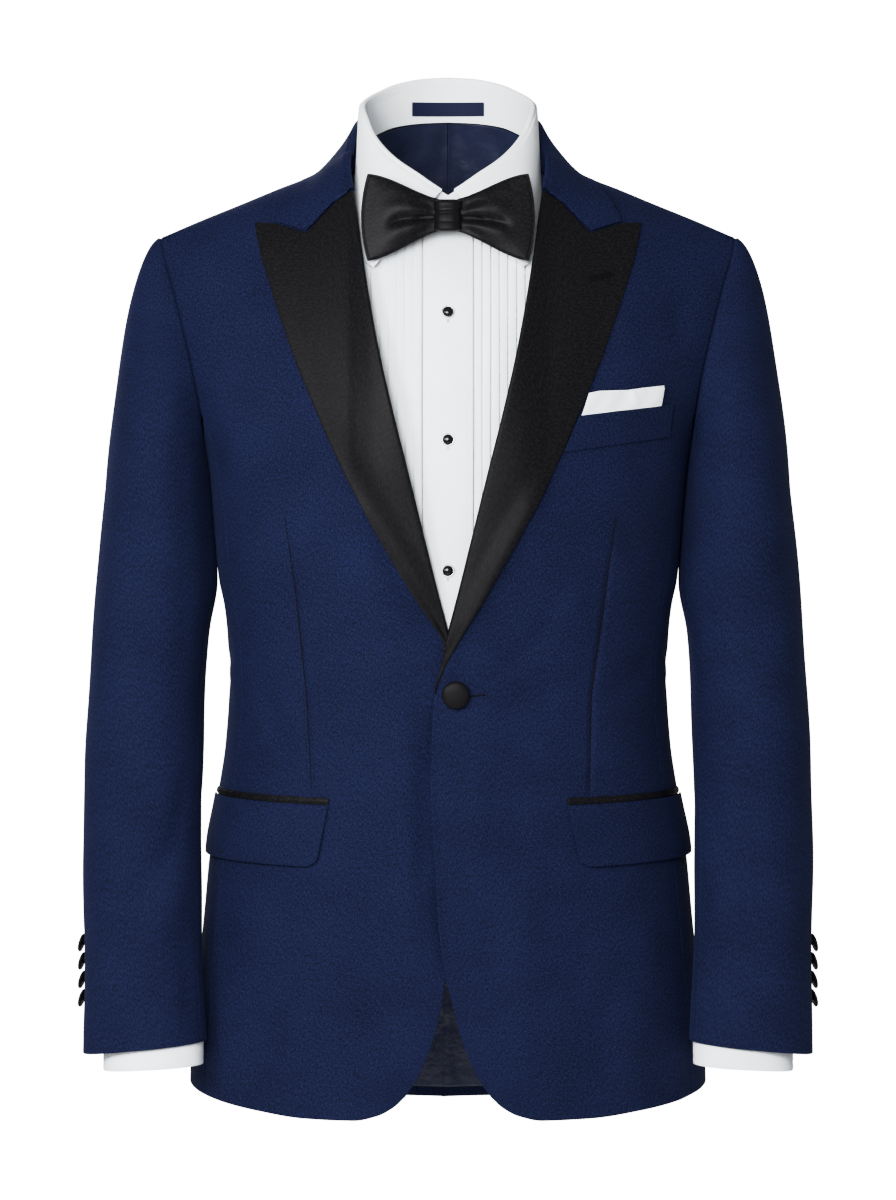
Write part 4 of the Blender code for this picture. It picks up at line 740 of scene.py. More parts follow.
def back_panel(side, cloth):
    centre_turn = turn_beside_centre(SEAM)

    def outer_edge(v):
        z = back_level(v)
        turn = np.where(v < ARMHOLE_SHARE, turn_at(armhole_back_x(z), z, True), side_seam_back(z))
        return turn, z

    def centre_seam(v):
        return np.full_like(v, centre_turn), mix(neck_height(0), hem_height(math.pi), v)

    shoulder_turn, shoulder_z = shoulder_place(mix(SHOULDER_X, NECK_SIDE_X, np.linspace(0, 1, 40)),
                                               True)
    x = mix(NECK_SIDE_X, 0, np.linspace(0, 1, 28))
    z = np.minimum(neck_height(x), ridge_height(x) - SHOULDER_SEAM)
    neck_turn = np.minimum(turn_at(x, z, True), centre_turn)
    line_turn = np.concatenate([shoulder_turn, neck_turn[1:]])
    line_z = np.concatenate([shoulder_z, z[1:]])
    line_share = np.concatenate([np.linspace(0, SHOULDER_SHARE, 40),
                                 np.linspace(SHOULDER_SHARE, 1, 28)[1:]])

    def top(u):
        return np.interp(u, line_share, line_turn), np.interp(u, line_share, line_z)

    def hem(u):
        turn = mix(BACK_HEM_TURN, centre_turn, u)
        return turn, hem_height(turn)

    turn, z = patch(outer_edge, centre_seam, top, hem, steps(60, 0.2), shoulder_rows(152, 54))
    end = end_of(side)
    piece = body_shell("cloth_back_" + end, turn, z, back_relief(turn, z, side), WOOL_BACK,
                       cloth["wool"], side, Edges(SEWN, FREE, SEWN, SEWN),
                       ("start", "end", "top") if side > 0 else ("start", "top"))
    declare(piece, ["back_" + end], ["collar", "front_" + end])


def back_lining(side, cloth):
    """Satin lining, with the ease pleat down its centre that shows below the label."""
    centre_turn = turn_beside_centre(2 * SEAM)
    if side > 0:
        centre_turn = 2 * math.pi - turn_beside_centre(LINING_LAP)

    def top_place(x):
        z = np.minimum(neck_height(x) - LINING, ridge_height(x) - LINING_BELOW_RIDGE)
        return np.minimum(turn_at(x, z, True), centre_turn), z

    high_turn, high_z = (float(v) for v in top_place(LINING_SHOULDER_X))
    low_z = float(top_place(0.0)[1])

    def outer_edge(v):
        return (mix(high_turn, LINING_SIDE_TURN, ease(v, 0, 0.4)),
                mix(high_z, hem_height(LINING_SIDE_TURN) + LINING_STRIP, v))

    def centre_seam(v):
        return np.full_like(v, centre_turn), mix(low_z, hem_height(math.pi) + LINING_STRIP, v)

    def top(u):
        return top_place(LINING_SHOULDER_X * (1 - u))

    def hem(u):
        turn = mix(LINING_SIDE_TURN, centre_turn, u)
        return turn, hem_height(turn) + LINING_STRIP

    turn, z = patch(outer_edge, centre_seam, top, hem, steps(50, 0.16), shoulder_rows(108, 46))
    x = np.abs(body_point(turn, z)[..., 0])
    lean = 0 if side > 0 else 7 * MM
    folds = fold_height(x + lean * ease(-x, -0.06, -0.02), z + lean, LINING_FOLDS)
    folds += back_relief(turn, z, side) * ease(x, 0.01, 0.04)
    pleat = -1.7 * MM * hump(x, 0, 3.4 * MM) * (1 if side > 0 else 0.35)
    end = end_of(side)
    piece = body_shell("cloth_back_lining_" + end, turn, z,
                       folds * 0.9 + pleat - WOOL_BACK - LINING_GAP, LINING, cloth["lining"], side,
                       Edges(FREE, FREE, FREE, SEWN))
    declare(piece, ["back_lining_" + end], ["back_" + end])


# ---------------------------------------------------------------- sleeves

sleeve_outer = column(SLEEVE, "z", "outer")
sleeve_inner = column(SLEEVE, "z", "inner")
sleeve_centre_y = column(SLEEVE, "z", "centre_y")
sleeve_half_depth = column(SLEEVE, "z", "half_depth")
CAP_BOTTOM = SLEEVE[0].z * MM


def armhole_loop():
    t = np.linspace(0, 1, 60) ** 1.6
    z = mix(SHOULDER_Z, ARMHOLE_FRONT_Z, t)
    front = body_point(turn_at(armhole_front_x(z), z), z)
    z = mix(SHOULDER_Z, ARMHOLE_BACK_Z, t)
    back = body_point(turn_at(armhole_back_x(z), z, True), z)
    ends = []
    for share in (np.linspace(0, 0.5, 20)[1:], 1 - np.linspace(0, 0.5, 20)[1:]):
        turn = mix(float(side_seam_front(ARMHOLE_FRONT_Z)), float(side_seam_back(ARMHOLE_BACK_Z)),
                   share)
        ends.append(body_point(turn, underarm_z(share)))
    return (path_through(np.concatenate([front, ends[0]])),
            path_through(np.concatenate([back, ends[1]])))


ARMHOLE_PATHS = armhole_loop()


def armhole_point(place):
    place = np.mod(place, 1.0)
    share = np.where(place <= 0.5, 2 * place, 2 * (1 - place))
    front, back = ARMHOLE_PATHS[0](share), ARMHOLE_PATHS[1](share)
    point = np.where((place <= 0.5)[..., None], front, back)
    return point + np.array((ARMHOLE_GAP, 0, 0))


def sleeve_ring_point(place, z):
    outer, inner = sleeve_outer(z), sleeve_inner(z)
    angle = 2 * math.pi * place
    reach = 2 / SLEEVE_POWER
    x = (outer + inner) / 2 + (outer - inner) / 2 * signed_power(np.cos(angle), reach)
    y = sleeve_centre_y(z) - sleeve_half_depth(z) * signed_power(np.sin(angle), reach)
    return stack(x, y, z)


def sleeve_hem_z(place):
    return SLEEVE_HEM - SLEEVE_HEM_TILT * np.cos(2 * math.pi * place)


CAP_LEAVES = {"outer": (20, 0, -4), "side": (15, 0, -13), "inner": (-2.6, 0, -12)}
CAP_ARRIVES = {"outer": (7.8, 0, -97), "side": (0, 0, -45), "inner": (-1.1, 0, -12)}
CAP_BULGE = 11 * MM


def cap_vector(table, angle):
    along = np.cos(angle)[..., None]
    end = np.where(along > 0, np.array(table["outer"]), np.array(table["inner"])) * MM
    return end * along ** 2 + np.array(table["side"]) * MM * (1 - along ** 2)


def sleeve_point(place, way):
    place, way = np.broadcast_arrays(np.asarray(place, float), np.asarray(way, float))
    angle = 2 * math.pi * place
    leaves = cap_vector(CAP_LEAVES, angle)
    leaves = leaves - stack(0.0, CAP_BULGE * np.sin(angle), 0.0)
    arrives = cap_vector(CAP_ARRIVES, angle)
    start = armhole_point(place)
    finish = sleeve_ring_point(place, np.full_like(place, CAP_BOTTOM))
    t = np.clip(way, 0, 1)[..., None]
    cap = (start * (1 - t) ** 3 + (start + leaves) * 3 * t * (1 - t) ** 2
           + (finish - arrives) * 3 * t * t * (1 - t) + finish * t ** 3)
    z = mix(CAP_BOTTOM, sleeve_hem_z(place), np.clip(way - 1, 0, None))
    return np.where((way >= 1)[..., None], sleeve_ring_point(place, z), cap)


def sleeve_normal(place, way):
    step = 0.004
    low = np.where(way < 1, np.maximum(way - step, 0.0), way)
    high = np.where(way < 1, np.minimum(way + step, 1.0), way + step)
    across = sleeve_point(place + step, way) - sleeve_point(place - step, way)
    down = sleeve_point(place, high) - sleeve_point(place, low)
    return unit(np.cross(across, down))


# x is the way round from the outermost line, in thousandths of the whole girth: 250 faces front.
SLEEVE_FOLDS = table(
    FOLD,
    (385, -480, 170, -602, 14, 8, -2.6), (362, -560, 240, -622, 8, 8, 1.6),
    (350, -505, 200, -560, 10, 9, 1.0), (388, -205, 384, -430, -4, 8, 2.0),
    (335, -230, 345, -420, 6, 9, -1.4), (366, -612, 374, -690, 4, 7, -1.5),
    (120, -330, 100, -430, 8, 12, 1.2), (150, -250, 230, -330, 8, 12, -1.2),
    (60, -520, 180, -570, -8, 9, -1.4), (40, -600, 130, -640, -6, 9, -1.1),
    (470, -330, 440, -470, 6, 9, -1.6), (560, -440, 700, -520, 12, 9, -2.2),
    (520, -500, 660, -560, 10, 9, -2.0), (590, -480, 740, -550, 8, 8, 1.5),
    (620, -250, 690, -420, -8, 12, -1.4), (760, -200, 800, -400, 8, 13, 1.3),
    (700, -590, 640, -690, 6, 9, -1.3), (850, -480, 780, -560, 8, 10, -1.3),
)
SLEEVE_GIRTH = 0.29
HEAD_RIPPLES = 26


def sleeve_relief(place, way, side):
    z = sleeve_point(place, way)[..., 2]
    round_way = np.mod(place, 1.0)
    round_way = np.where(round_way > 0.97, round_way - 1, round_way)
    folds = [f._replace(x0=f.x0 * SLEEVE_GIRTH, x1=f.x1 * SLEEVE_GIRTH,
                        z0=f.z0 - (6 if side > 0 else 0), z1=f.z1 + (5 if side > 0 else 0),
                        height=f.height * (0.85 if side > 0 else 1.0)) for f in SLEEVE_FOLDS]
    height = fold_height(round_way * SLEEVE_GIRTH, z, folds)
    ripple = np.sin(2 * math.pi * HEAD_RIPPLES * place + 0.9 * np.sin(9 * place))
    near = hump(way, 0.06, 0.055) * ease(np.cos(2 * math.pi * place), -0.4, 0.5)
    height = height + ripple * near * 0.28 * MM
    soft = np.sin(z * 55 + place * 6 + side) * np.sin(place * 2 * math.pi * 3 + side) * 0.4 * MM
    hem = hump(way, 2, 0.03)
    inside = hump(round_way, 0.5, 0.09) * ease(-z, 0.2, 0.225) * (1 - ease(-z, 0.335, 0.375))
    relief = (height + soft) * (1 - 0.85 * hem) * ease(way, 0.0, 0.1)
    return relief * (1 - inside) + 1.7 * MM * inside


def sleeve_piece(name, start, end, columns, side, cloth):
    cap_rows = np.concatenate([[0, 0.004, 0.009, 0.016, 0.026], np.linspace(0.04, 1, 40)[:-1]])
    arm_rows = 1 + steps(94, 0.44, start=False)
    way, place = np.meshgrid(np.concatenate([cap_rows, arm_rows]),
                             mix(start, end, steps(columns, 0.15)), indexing="ij")
    normals = sleeve_normal(place, way)
    outside = raised(sleeve_point(place, way), normals, sleeve_relief(place, way, side))
    name += end_of(side)
    piece = shell("cloth_" + name, outside, normals, WOOL_SLEEVE, cloth["wool"],
                  Edges(SEWN, FREE, SEWN, SEWN), side=side,
                  tucks=("start", "end", "top") if name.startswith("under") else ("top",))
    declare(piece, [name], ["front_" + end_of(side), "back_" + end_of(side)])


def sleeve(side, cloth):
    sleeve_piece("top_sleeve_", ELBOW_SEAM - 1, FOREARM_SEAM, 58, side, cloth)
    sleeve_piece("under_sleeve_", FOREARM_SEAM + SLEEVE_SEAM, ELBOW_SEAM - SLEEVE_SEAM, 54, side,
                 cloth)

# ---------------------------------------------------------------- collar and lapels

LAPEL_OUTER_EDGE = table(
    "z left right",
    (-51.6, 153.2, 153.2), (-76, 148, 148), (-101, 140.5, 140.5), (-147, 124.8, 124.8),
    (-197, 104.5, 104.5), (-252, 79.8, 79.8), (-299, 55.4, 54.8), (-339, 33, 31), (-353, 25, 21.9),
    (-366, 17.1, 12.9), (-379, 9.4, 4.4), (-387, 4.8, 2), (-394, 1, 0.8), (-402, -3.2, -2.4),
    (-411, -7, -6.4), (-418, -9, -8.6), (-433, -11, -10.8),
)
lapel_outer_x = {1: column(LAPEL_OUTER_EDGE, "z", "left"),
                 -1: column(LAPEL_OUTER_EDGE, "z", "right")}
GORGE_TOP = (76.2 * MM, -27.2 * MM)
GORGE_MIDDLE = (87.7 * MM, -35.0 * MM)
NOTCH = (111.3 * MM, -60.1 * MM)
COLLAR_CORNER = (136.9 * MM, -52.6 * MM)
PEAK = (153.2 * MM, -51.6 * MM)
COLLAR_GAP = 0.9 * MM
LAPEL_LAID = 1.0 * MM
LEFT_LAPEL_FOOT = -421 * MM
RIGHT_LAPEL_FOOT = -387 * MM
SATIN_HEIGHT = LAPEL_LAID + SATIN
ROLL_RADIUS = 2.1 * MM
ROLL_TURNS = np.radians((170, 145, 120, 95, 72, 52, 34, 16))

LAPEL_FOLDS = table(
    FOLD,
    (112, -120, 40, -270, 6, 11, 0.8), (128, -100, 96, -190, 3, 7, -0.6),
    (74, -90, 50, -190, 3, 8, 0.7), (70, -240, 20, -345, 3, 7, -0.7),
)


def rolled(points, normals, inward, radius, turns):
    """Extra columns before a grid's first one, which carry it round a roll of this radius."""
    before, before_normals = [], []
    for angle in turns:
        p = (points[:, :1] + inward * radius * math.sin(angle)
             - normals[:, :1] * radius * (1 - math.cos(angle)))
        before.append(p)
        before_normals.append(normals[:, :1] * math.cos(angle) + inward * math.sin(angle))
    return (np.concatenate(before + [points], axis=1),
            unit(np.concatenate(before_normals + [normals], axis=1)))


def lapel(side, cloth):
    foot = LEFT_LAPEL_FOOT if side > 0 else RIGHT_LAPEL_FOOT
    edge = path_through([GORGE_TOP, GORGE_MIDDLE, NOTCH, COLLAR_CORNER, PEAK])

    def roll_line(v):
        z = mix(GORGE_TOP[1], foot, v)
        x = front_edge_x(z) + 0.2 * MM
        if side < 0:
            x = np.maximum(x, 0.8 * MM - front_edge_x(z))
        return turn_at(x, z), z

    def outer_edge(v):
        z = mix(PEAK[1], foot, v)
        return turn_at(lapel_outer_x[side](z), z), z

    def top(u):
        point = edge(u)
        return turn_at(point[..., 0], point[..., 1]), point[..., 1]

    def tip(u):
        a, b = roll_line(np.array([1.0])), outer_edge(np.array([1.0]))
        return tuple(mix(p, q, u) for p, q in zip(a, b))

    across = steps(46, 0.09, start=False)
    down = steps(150, 0.4)
    turn, z = patch(roll_line, outer_edge, top, tip, across, down)
    base, normals = body_point(turn, z), body_normal(turn, z)
    x = np.abs(base[..., 0])
    u = across[None, :] * np.ones_like(z)
    belly = np.sin(math.pi * np.clip(u, 0, 1) ** 0.8) * 1.0 * MM * ease(-z, 0.03, 0.12)
    belly *= 1 - ease(-z, 0.30, 0.40)
    wave = 0.35 * MM * np.sin(z * 24 + side) * u * (1 - ease(-z, 0.30, 0.37))
    relief = front_relief(turn, z, side) * 0.3 + beside_lapel(turn, z, side) + belly + wave
    relief += 0.6 * fold_height(x, z, LAPEL_FOLDS) * (1 - ease(-z, 0.33, 0.42))
    relief += 1.2 * MM * ease(-z, 0.24, 0.32) * ease(u, 0.3, 1.0)
    settle = ease(z, foot, foot + (60 if side > 0 else 16) * MM)
    relief = relief * settle - (1 - settle) * (0.9 if side > 0 else 1.9) * MM
    height = SATIN_HEIGHT + overlap_shift(turn, z, FRONT_SHIFT * side) + relief
    outside = raised(base, normals, height)
    inward = unit(outside[:, :1] - outside[:, 3:4])
    radius = mix(0.45 * MM, ROLL_RADIUS, settle[:, :1, None] if side > 0 else 1.0)
    outside, normals = rolled(outside, normals, inward, radius, ROLL_TURNS)
    end = end_of(side)
    piece = shell("cloth_lapel_" + end, outside, normals, SATIN * 0.8, cloth["satin"],
                  edges=Edges(FREE, PLAIN, PLAIN, FREE), side=side)
    declare(piece, ["lapel_" + end], ["front_" + end, "collar"])


COLLAR_FOLD = table(
    "x y z",
    (0, 87, 50), (24, 83, 48.5), (45, 71.5, 45), (62, 52.5, 38.5), (73.5, 32, 28.5), (78, 10, 15.5),
    (79.6, -10, 2), (78.6, -28, -12), (76.2, -46, -26.2),
)
COLLAR_FALL = table(
    "x z back",
    (0, 2, True), (32, 0, True), (62, -6, True), (82, -17, True), (98, -19, True),
    (113, -15.2, True), (121, -22, False), (129.5, -37, False), (136.9, -51.7, False),
)
COLLAR_HEIGHT = 2.6 * MM
COLLAR_CLOTH = 1.8 * MM
COLLAR_SAG = 3.5 * MM
STAND_SHARE = 0.62
STAND_INSIDE = 3.5 * MM
STAND_BELOW_FOLD = 1.5 * MM
STAND_CLEAR = 0.55 * MM
STAND_CLOTH = 1.2 * MM


def softened(grid, times):
    """Evened out between neighbours; the first row and the last column stay."""
    for _ in range(times):
        soft = grid.copy()
        soft[1:-1] = (grid[:-2] + 2 * grid[1:-1] + grid[2:]) / 4
        soft[:, 1:-1] = (soft[:, :-2] + 2 * soft[:, 1:-1] + soft[:, 2:]) / 4
        soft[0], soft[:, -1] = grid[0], grid[:, -1]
        grid = soft
    return grid


def clear_of_body(points, least):
    turn = turn_at(points[..., 0], points[..., 2])
    turn = np.where(points[..., 1] > 0, math.pi - turn, turn)
    normals = body_normal(turn, points[..., 2])
    height = ((points - body_point(turn, points[..., 2])) * normals).sum(-1)
    below = points[..., 2] < ridge_height(np.abs(points[..., 0]))
    move = np.where(below, np.maximum(least - height, 0), 0)
    return points + normals * move[..., None]


def through_rows(rows, names):
    count = len(rows) - 1
    places = [i / count for i in range(count + 1)]
    parts = [smooth_curve(places, [getattr(row, name) * MM for row in rows]) for name in names]
    return lambda share: stack(*[part(share) for part in parts])


collar_fold = through_rows(COLLAR_FOLD, ("x", "y", "z"))


def fall_points():
    points = []
    for row in COLLAR_FALL:
        x = row.x * MM
        z = min(row.z * MM, float(ridge_height(x)) - 0.01 * MM)
        turn = turn_at(x, z, row.back)
        points.append(body_point(turn, z) + body_normal(turn, z) * COLLAR_HEIGHT)
    count = len(points) - 1
    places = [i / count for i in range(count + 1)]
    parts = [smooth_curve(places, [p[axis] for p in points]) for axis in range(3)]
    return lambda share: stack(*[part(share) for part in parts])


collar_fall_edge = fall_points()


def collar_end(share):
    lift = np.array((0, COLLAR_GAP))
    path = path_through([np.array(p) + lift for p in (GORGE_TOP, GORGE_MIDDLE, NOTCH,
                                                      COLLAR_CORNER)])
    place = path(share)
    x, z = place[..., 0], place[..., 1]
    turn = turn_at(x, z)
    return body_point(turn, z) + body_normal(turn, z) * COLLAR_HEIGHT


def both_ways(grid):
    """Columns for the left half, from the centre out, carried on across to the right."""
    other = grid[:, :0:-1] * np.array((-1, 1, 1))
    return np.concatenate([other, grid], axis=1)


def collar(cloth):
    share, down = np.meshgrid(steps(90, 0.24, start=False), steps(24, 0.045, start=False))
    fold, fall = collar_fold(share), collar_fall_edge(share)
    s = share[..., None]
    points = mix(fold, fall, down[..., None])
    last_fold, last_fall = collar_fold(np.array([1.0])), collar_fall_edge(np.array([1.0]))
    end_shift = collar_end(down) - mix(last_fold, last_fall, down[..., None])
    points = points + end_shift * ease(s, 0.6, 1)
    points[..., 2] -= COLLAR_SAG * np.sin(math.pi * down) * (1 - ease(share, 0.75, 1))
    points = softened(clear_of_body(points, COLLAR_HEIGHT), 24)
    over_shoulder = ease(share, 0.3, 0.5) * (1 - ease(share, 0.74, 0.9))
    points[..., 2] -= 2.6 * MM * over_shoulder * ease(down, 0.25, 0.8)
    points = both_ways(points)
    normals = grid_normals(points)
    fold_row = points[:1]
    inward = stack(-fold_row[..., 0], NECK_CENTRE_Y - fold_row[..., 1], 0 * fold_row[..., 0])
    inward = unit(inward)
    rows, row_normals = [], []
    widen = ease(np.abs(fold_row[..., 0]), 0.05, 0.075)[..., None]
    radius = (1.5 + 1.0 * widen) * MM
    for angle in np.radians((200, 180, 155, 130, 105, 80, 55, 30)):
        rows.append(fold_row + inward * radius * (1 - math.cos(angle))
                    + UP * radius * math.sin(angle) * 0.9)
        row_normals.append(-inward * math.cos(angle) + UP * math.sin(angle))
    points = np.concatenate(rows + [points])
    normals = np.concatenate(row_normals + [normals])
    thick = np.full(points.shape[:2], COLLAR_CLOTH)
    thick[len(rows):] -= 1.0 * MM * both_ways(np.repeat(
        (over_shoulder * ease(down, 0.25, 0.8))[..., None], 3, -1))[..., 1]
    thick[:len(rows)] = 0.6 * MM
    piece = shell("cloth_collar", points, normals, thick, cloth["wool"],
                  edges=Edges(PLAIN, FREE, FREE, FREE))
    declare(piece, ["collar"], ["back_left", "back_right"])

    t = steps(60, 0.2, start=False)
    fold = collar_fold(t * STAND_SHARE)
    inward = unit(stack(-fold[..., 0], NECK_CENTRE_Y - fold[..., 1], 0.0))
    top = fold + inward * STAND_INSIDE - np.array((0, 0, STAND_BELOW_FOLD))
    x = np.minimum(fold[..., 0], NECK_SIDE_X - 1 * MM)
    z = np.minimum(neck_height(x) + STAND_CLEAR, ridge_height(x))
    foot = body_point(turn_at(x, z, True), z) + np.array((0, 0, STAND_CLEAR))
    v = steps(12, 0.03)[:, None, None]
    grid = both_ways(mix(top[None], foot[None], v))
    normals = grid_normals(grid)
    piece = shell("cloth_collar_stand", grid, normals, STAND_CLOTH, cloth["wool"])
    declare(piece, ["collar_stand"], ["back_left", "back_right"])


# ---------------------------------------------------------------- thread and other tubes


CORD_SIDES = 8
THREAD_SIDES = 6


def ring_faces(rings, sides, closed=False, first=0):
    """Quads round a row of rings of points; both ends are capped, unless the row is closed."""
    faces = []
    for i in range(rings if closed else rings - 1):
        k = (i + 1) % rings
        for j in range(sides):
            m = (j + 1) % sides
            faces.append([first + a * sides + b for a, b in ((i, j), (i, m), (k, m), (k, j))])
    if not closed:
        faces.append([first + q for q in range(sides)][::-1])
        faces.append([first + (rings - 1) * sides + q for q in range(sides)])
    return faces


def rings_round(points, along, radius, sides):
    """A circle of points round each point of a line."""
    beside = unit(np.cross(unit(along), np.array((0.13, -0.9, 0.42))))
    over = np.cross(beside, unit(along))
    angle = circle(sides)
    return points[:, None] + radius[:, None, None] * (
        beside[:, None] * np.cos(angle)[:, None] + over[:, None] * np.sin(angle)[:, None])


def tube(name, points, radius, material, closed=False):
    """A round cord through these points."""
    along = np.gradient(points, axis=0)
    if closed:
        along = np.roll(points, -1, axis=0) - np.roll(points, 1, axis=0)
    rings = rings_round(points, along, np.broadcast_to(radius, len(points)), CORD_SIDES)
    faces = ring_faces(len(points), CORD_SIDES, closed)
    return mesh_object(name, rings.reshape(-1, 3), faces, [material])


def stitched_loop(name, start, end, width, rise, follow, thread, slit_shade, radius=0.55 * MM):
    """A worked buttonhole: a long oval of thread that lies on the cloth, with tight stitches, and a
    black cord down its middle as painted shade for the slit.
    """
    count = 90
    angle = circle(count)
    long_way = signed_power(np.cos(angle), 0.45)
    x = mix(start[0], end[0], 0.5 + 0.5 * long_way) * MM
    z = mix(start[1], end[1], 0.5 + 0.5 * long_way) * MM
    dx, dz = end[0] - start[0], end[1] - start[1]
    length = math.hypot(dx, dz)
    across = signed_power(np.sin(angle), 0.5) * width * 0.5
    x, z = x - dz / length * across, z + dx / length * across
    turn = turn_at(x, z)
    relief = front_relief(turn, z, 1) * follow + beside_lapel(turn, z, 1)
    points = on_body(turn, z, rise + relief)
    wobble = 1 + 0.16 * np.sin(angle * 45)
    piece = tube(name, points, radius * wobble, thread, closed=True)
    declare(piece, [], sheet=False)
    # A black cord down the middle, sunk a little between the thread lines: painted shade for the dark
    # of the cut slit.
    middle = (points[2:count // 2 - 1] + points[count - 2:count // 2 + 1:-1]) / 2
    piece = tube(name + "_slit", middle - np.array((0, radius * -0.3, 0)), radius, slit_shade)
    declare(piece, [], sheet=False)


# ---------------------------------------------------------------- pockets

FLAP_FRONT_X = 93.7 * MM
FLAP_BACK_TURN = math.radians(87)
FLAP_TOP_FRONT = -509.3 * MM
FLAP_TOP_BACK = -505.3 * MM
FLAP_FOOT_FRONT = -558.3 * MM
FLAP_FOOT_BACK = -553 * MM
FLAP_CORNER = 10 * MM
FLAP_LENGTH = 142 * MM
FLAP_STANDS_OFF = 2.6 * MM
JETTING_HEIGHT = 5.2 * MM
JETTING_BACK_TURN = math.radians(84)


def rounded_end(share, length, radius):
    distance = np.minimum(share, 1 - share) * length
    inside = np.clip(radius - distance, 0, radius)
    return radius - np.sqrt(radius ** 2 - inside ** 2)


def pocket(side, cloth):
    end = end_of(side)
    front_turn = float(turn_at(FLAP_FRONT_X, FLAP_TOP_FRONT))
    slant = math.radians(1.6)
    u, v = np.meshgrid(steps(52, FLAP_LENGTH), steps(22, 0.048))
    top = mix(FLAP_TOP_FRONT, FLAP_TOP_BACK, u)
    foot = mix(FLAP_FOOT_FRONT, FLAP_FOOT_BACK, u) + rounded_end(u, FLAP_LENGTH, FLAP_CORNER)
    turn = mix(front_turn + slant * v, FLAP_BACK_TURN + slant * v, u)
    z = mix(top, foot, v)
    relief = front_relief(turn, z, side) * 0.8
    curl = (0.3 * MM + FLAP_STANDS_OFF * v ** 1.3
            + 0.5 * MM * v * np.sin(u * 7 + side) - 1.0 * MM * v ** 6)
    seam = 0.22 * MM * hump((1 - v) * 0.047, 4.2 * MM, 1 * MM)
    height = LAID + WOOL + relief + curl - seam
    piece = body_shell("cloth_flap_" + end, turn, z, height, WOOL, cloth["wool"], side=side)
    declare(piece, ["flap_" + end], ["front_" + end, "jetting_" + end])

    u, v = np.meshgrid(steps(60, 0.14), steps(6, JETTING_HEIGHT * 1.4, False, False))
    foot = mix(FLAP_TOP_FRONT, FLAP_TOP_BACK, u) + SEAM
    turn = mix(front_turn, JETTING_BACK_TURN, u)
    z = foot + JETTING_HEIGHT * (1 - v)
    puff = np.sqrt(np.clip(1 - (2 * v - 1) ** 2, 0, 1)) * 1.1 * MM
    wave = 0.12 * MM * np.sin(u * 60 + side) + 0.08 * MM * np.sin(u * 23)
    height = LAID + 0.5 * MM + front_relief(turn, z, side) * 0.8 + puff + wave
    piece = body_shell("cloth_jetting_" + end, turn, z, height, 0.9 * MM, cloth["satin"],
                       side=side, edges=Edges(PLAIN, PLAIN, FREE, FREE))
    declare(piece, ["jetting_" + end], ["front_" + end])


WELT_TOP_BACK = (177.5 * MM, -194.8 * MM)
WELT_TOP_FRONT_Z = -203.6 * MM
WELT_FOOT_BACK = (174.2 * MM, -220.8 * MM)
WELT_FOOT_FRONT_Z = -232.4 * MM
WELT_CLOTH = 1.4 * MM
WELT_LENGTH = 77 * MM
STITCH_INSETS = (1.6 * MM, 5.6 * MM)
STITCH_GAP = 0.012               # left free before and after a stitch, as a share of the welt
SQUARE_TOP = ((110.2, -187.6), (118.5, -185.9), (141, -185.2), (152, -183.6), (169.6, -181.6))
SQUARE_FOOT_BACK = (167.4 * MM, -195.0 * MM)
BESIDE_LAPEL = 1.0 * MM


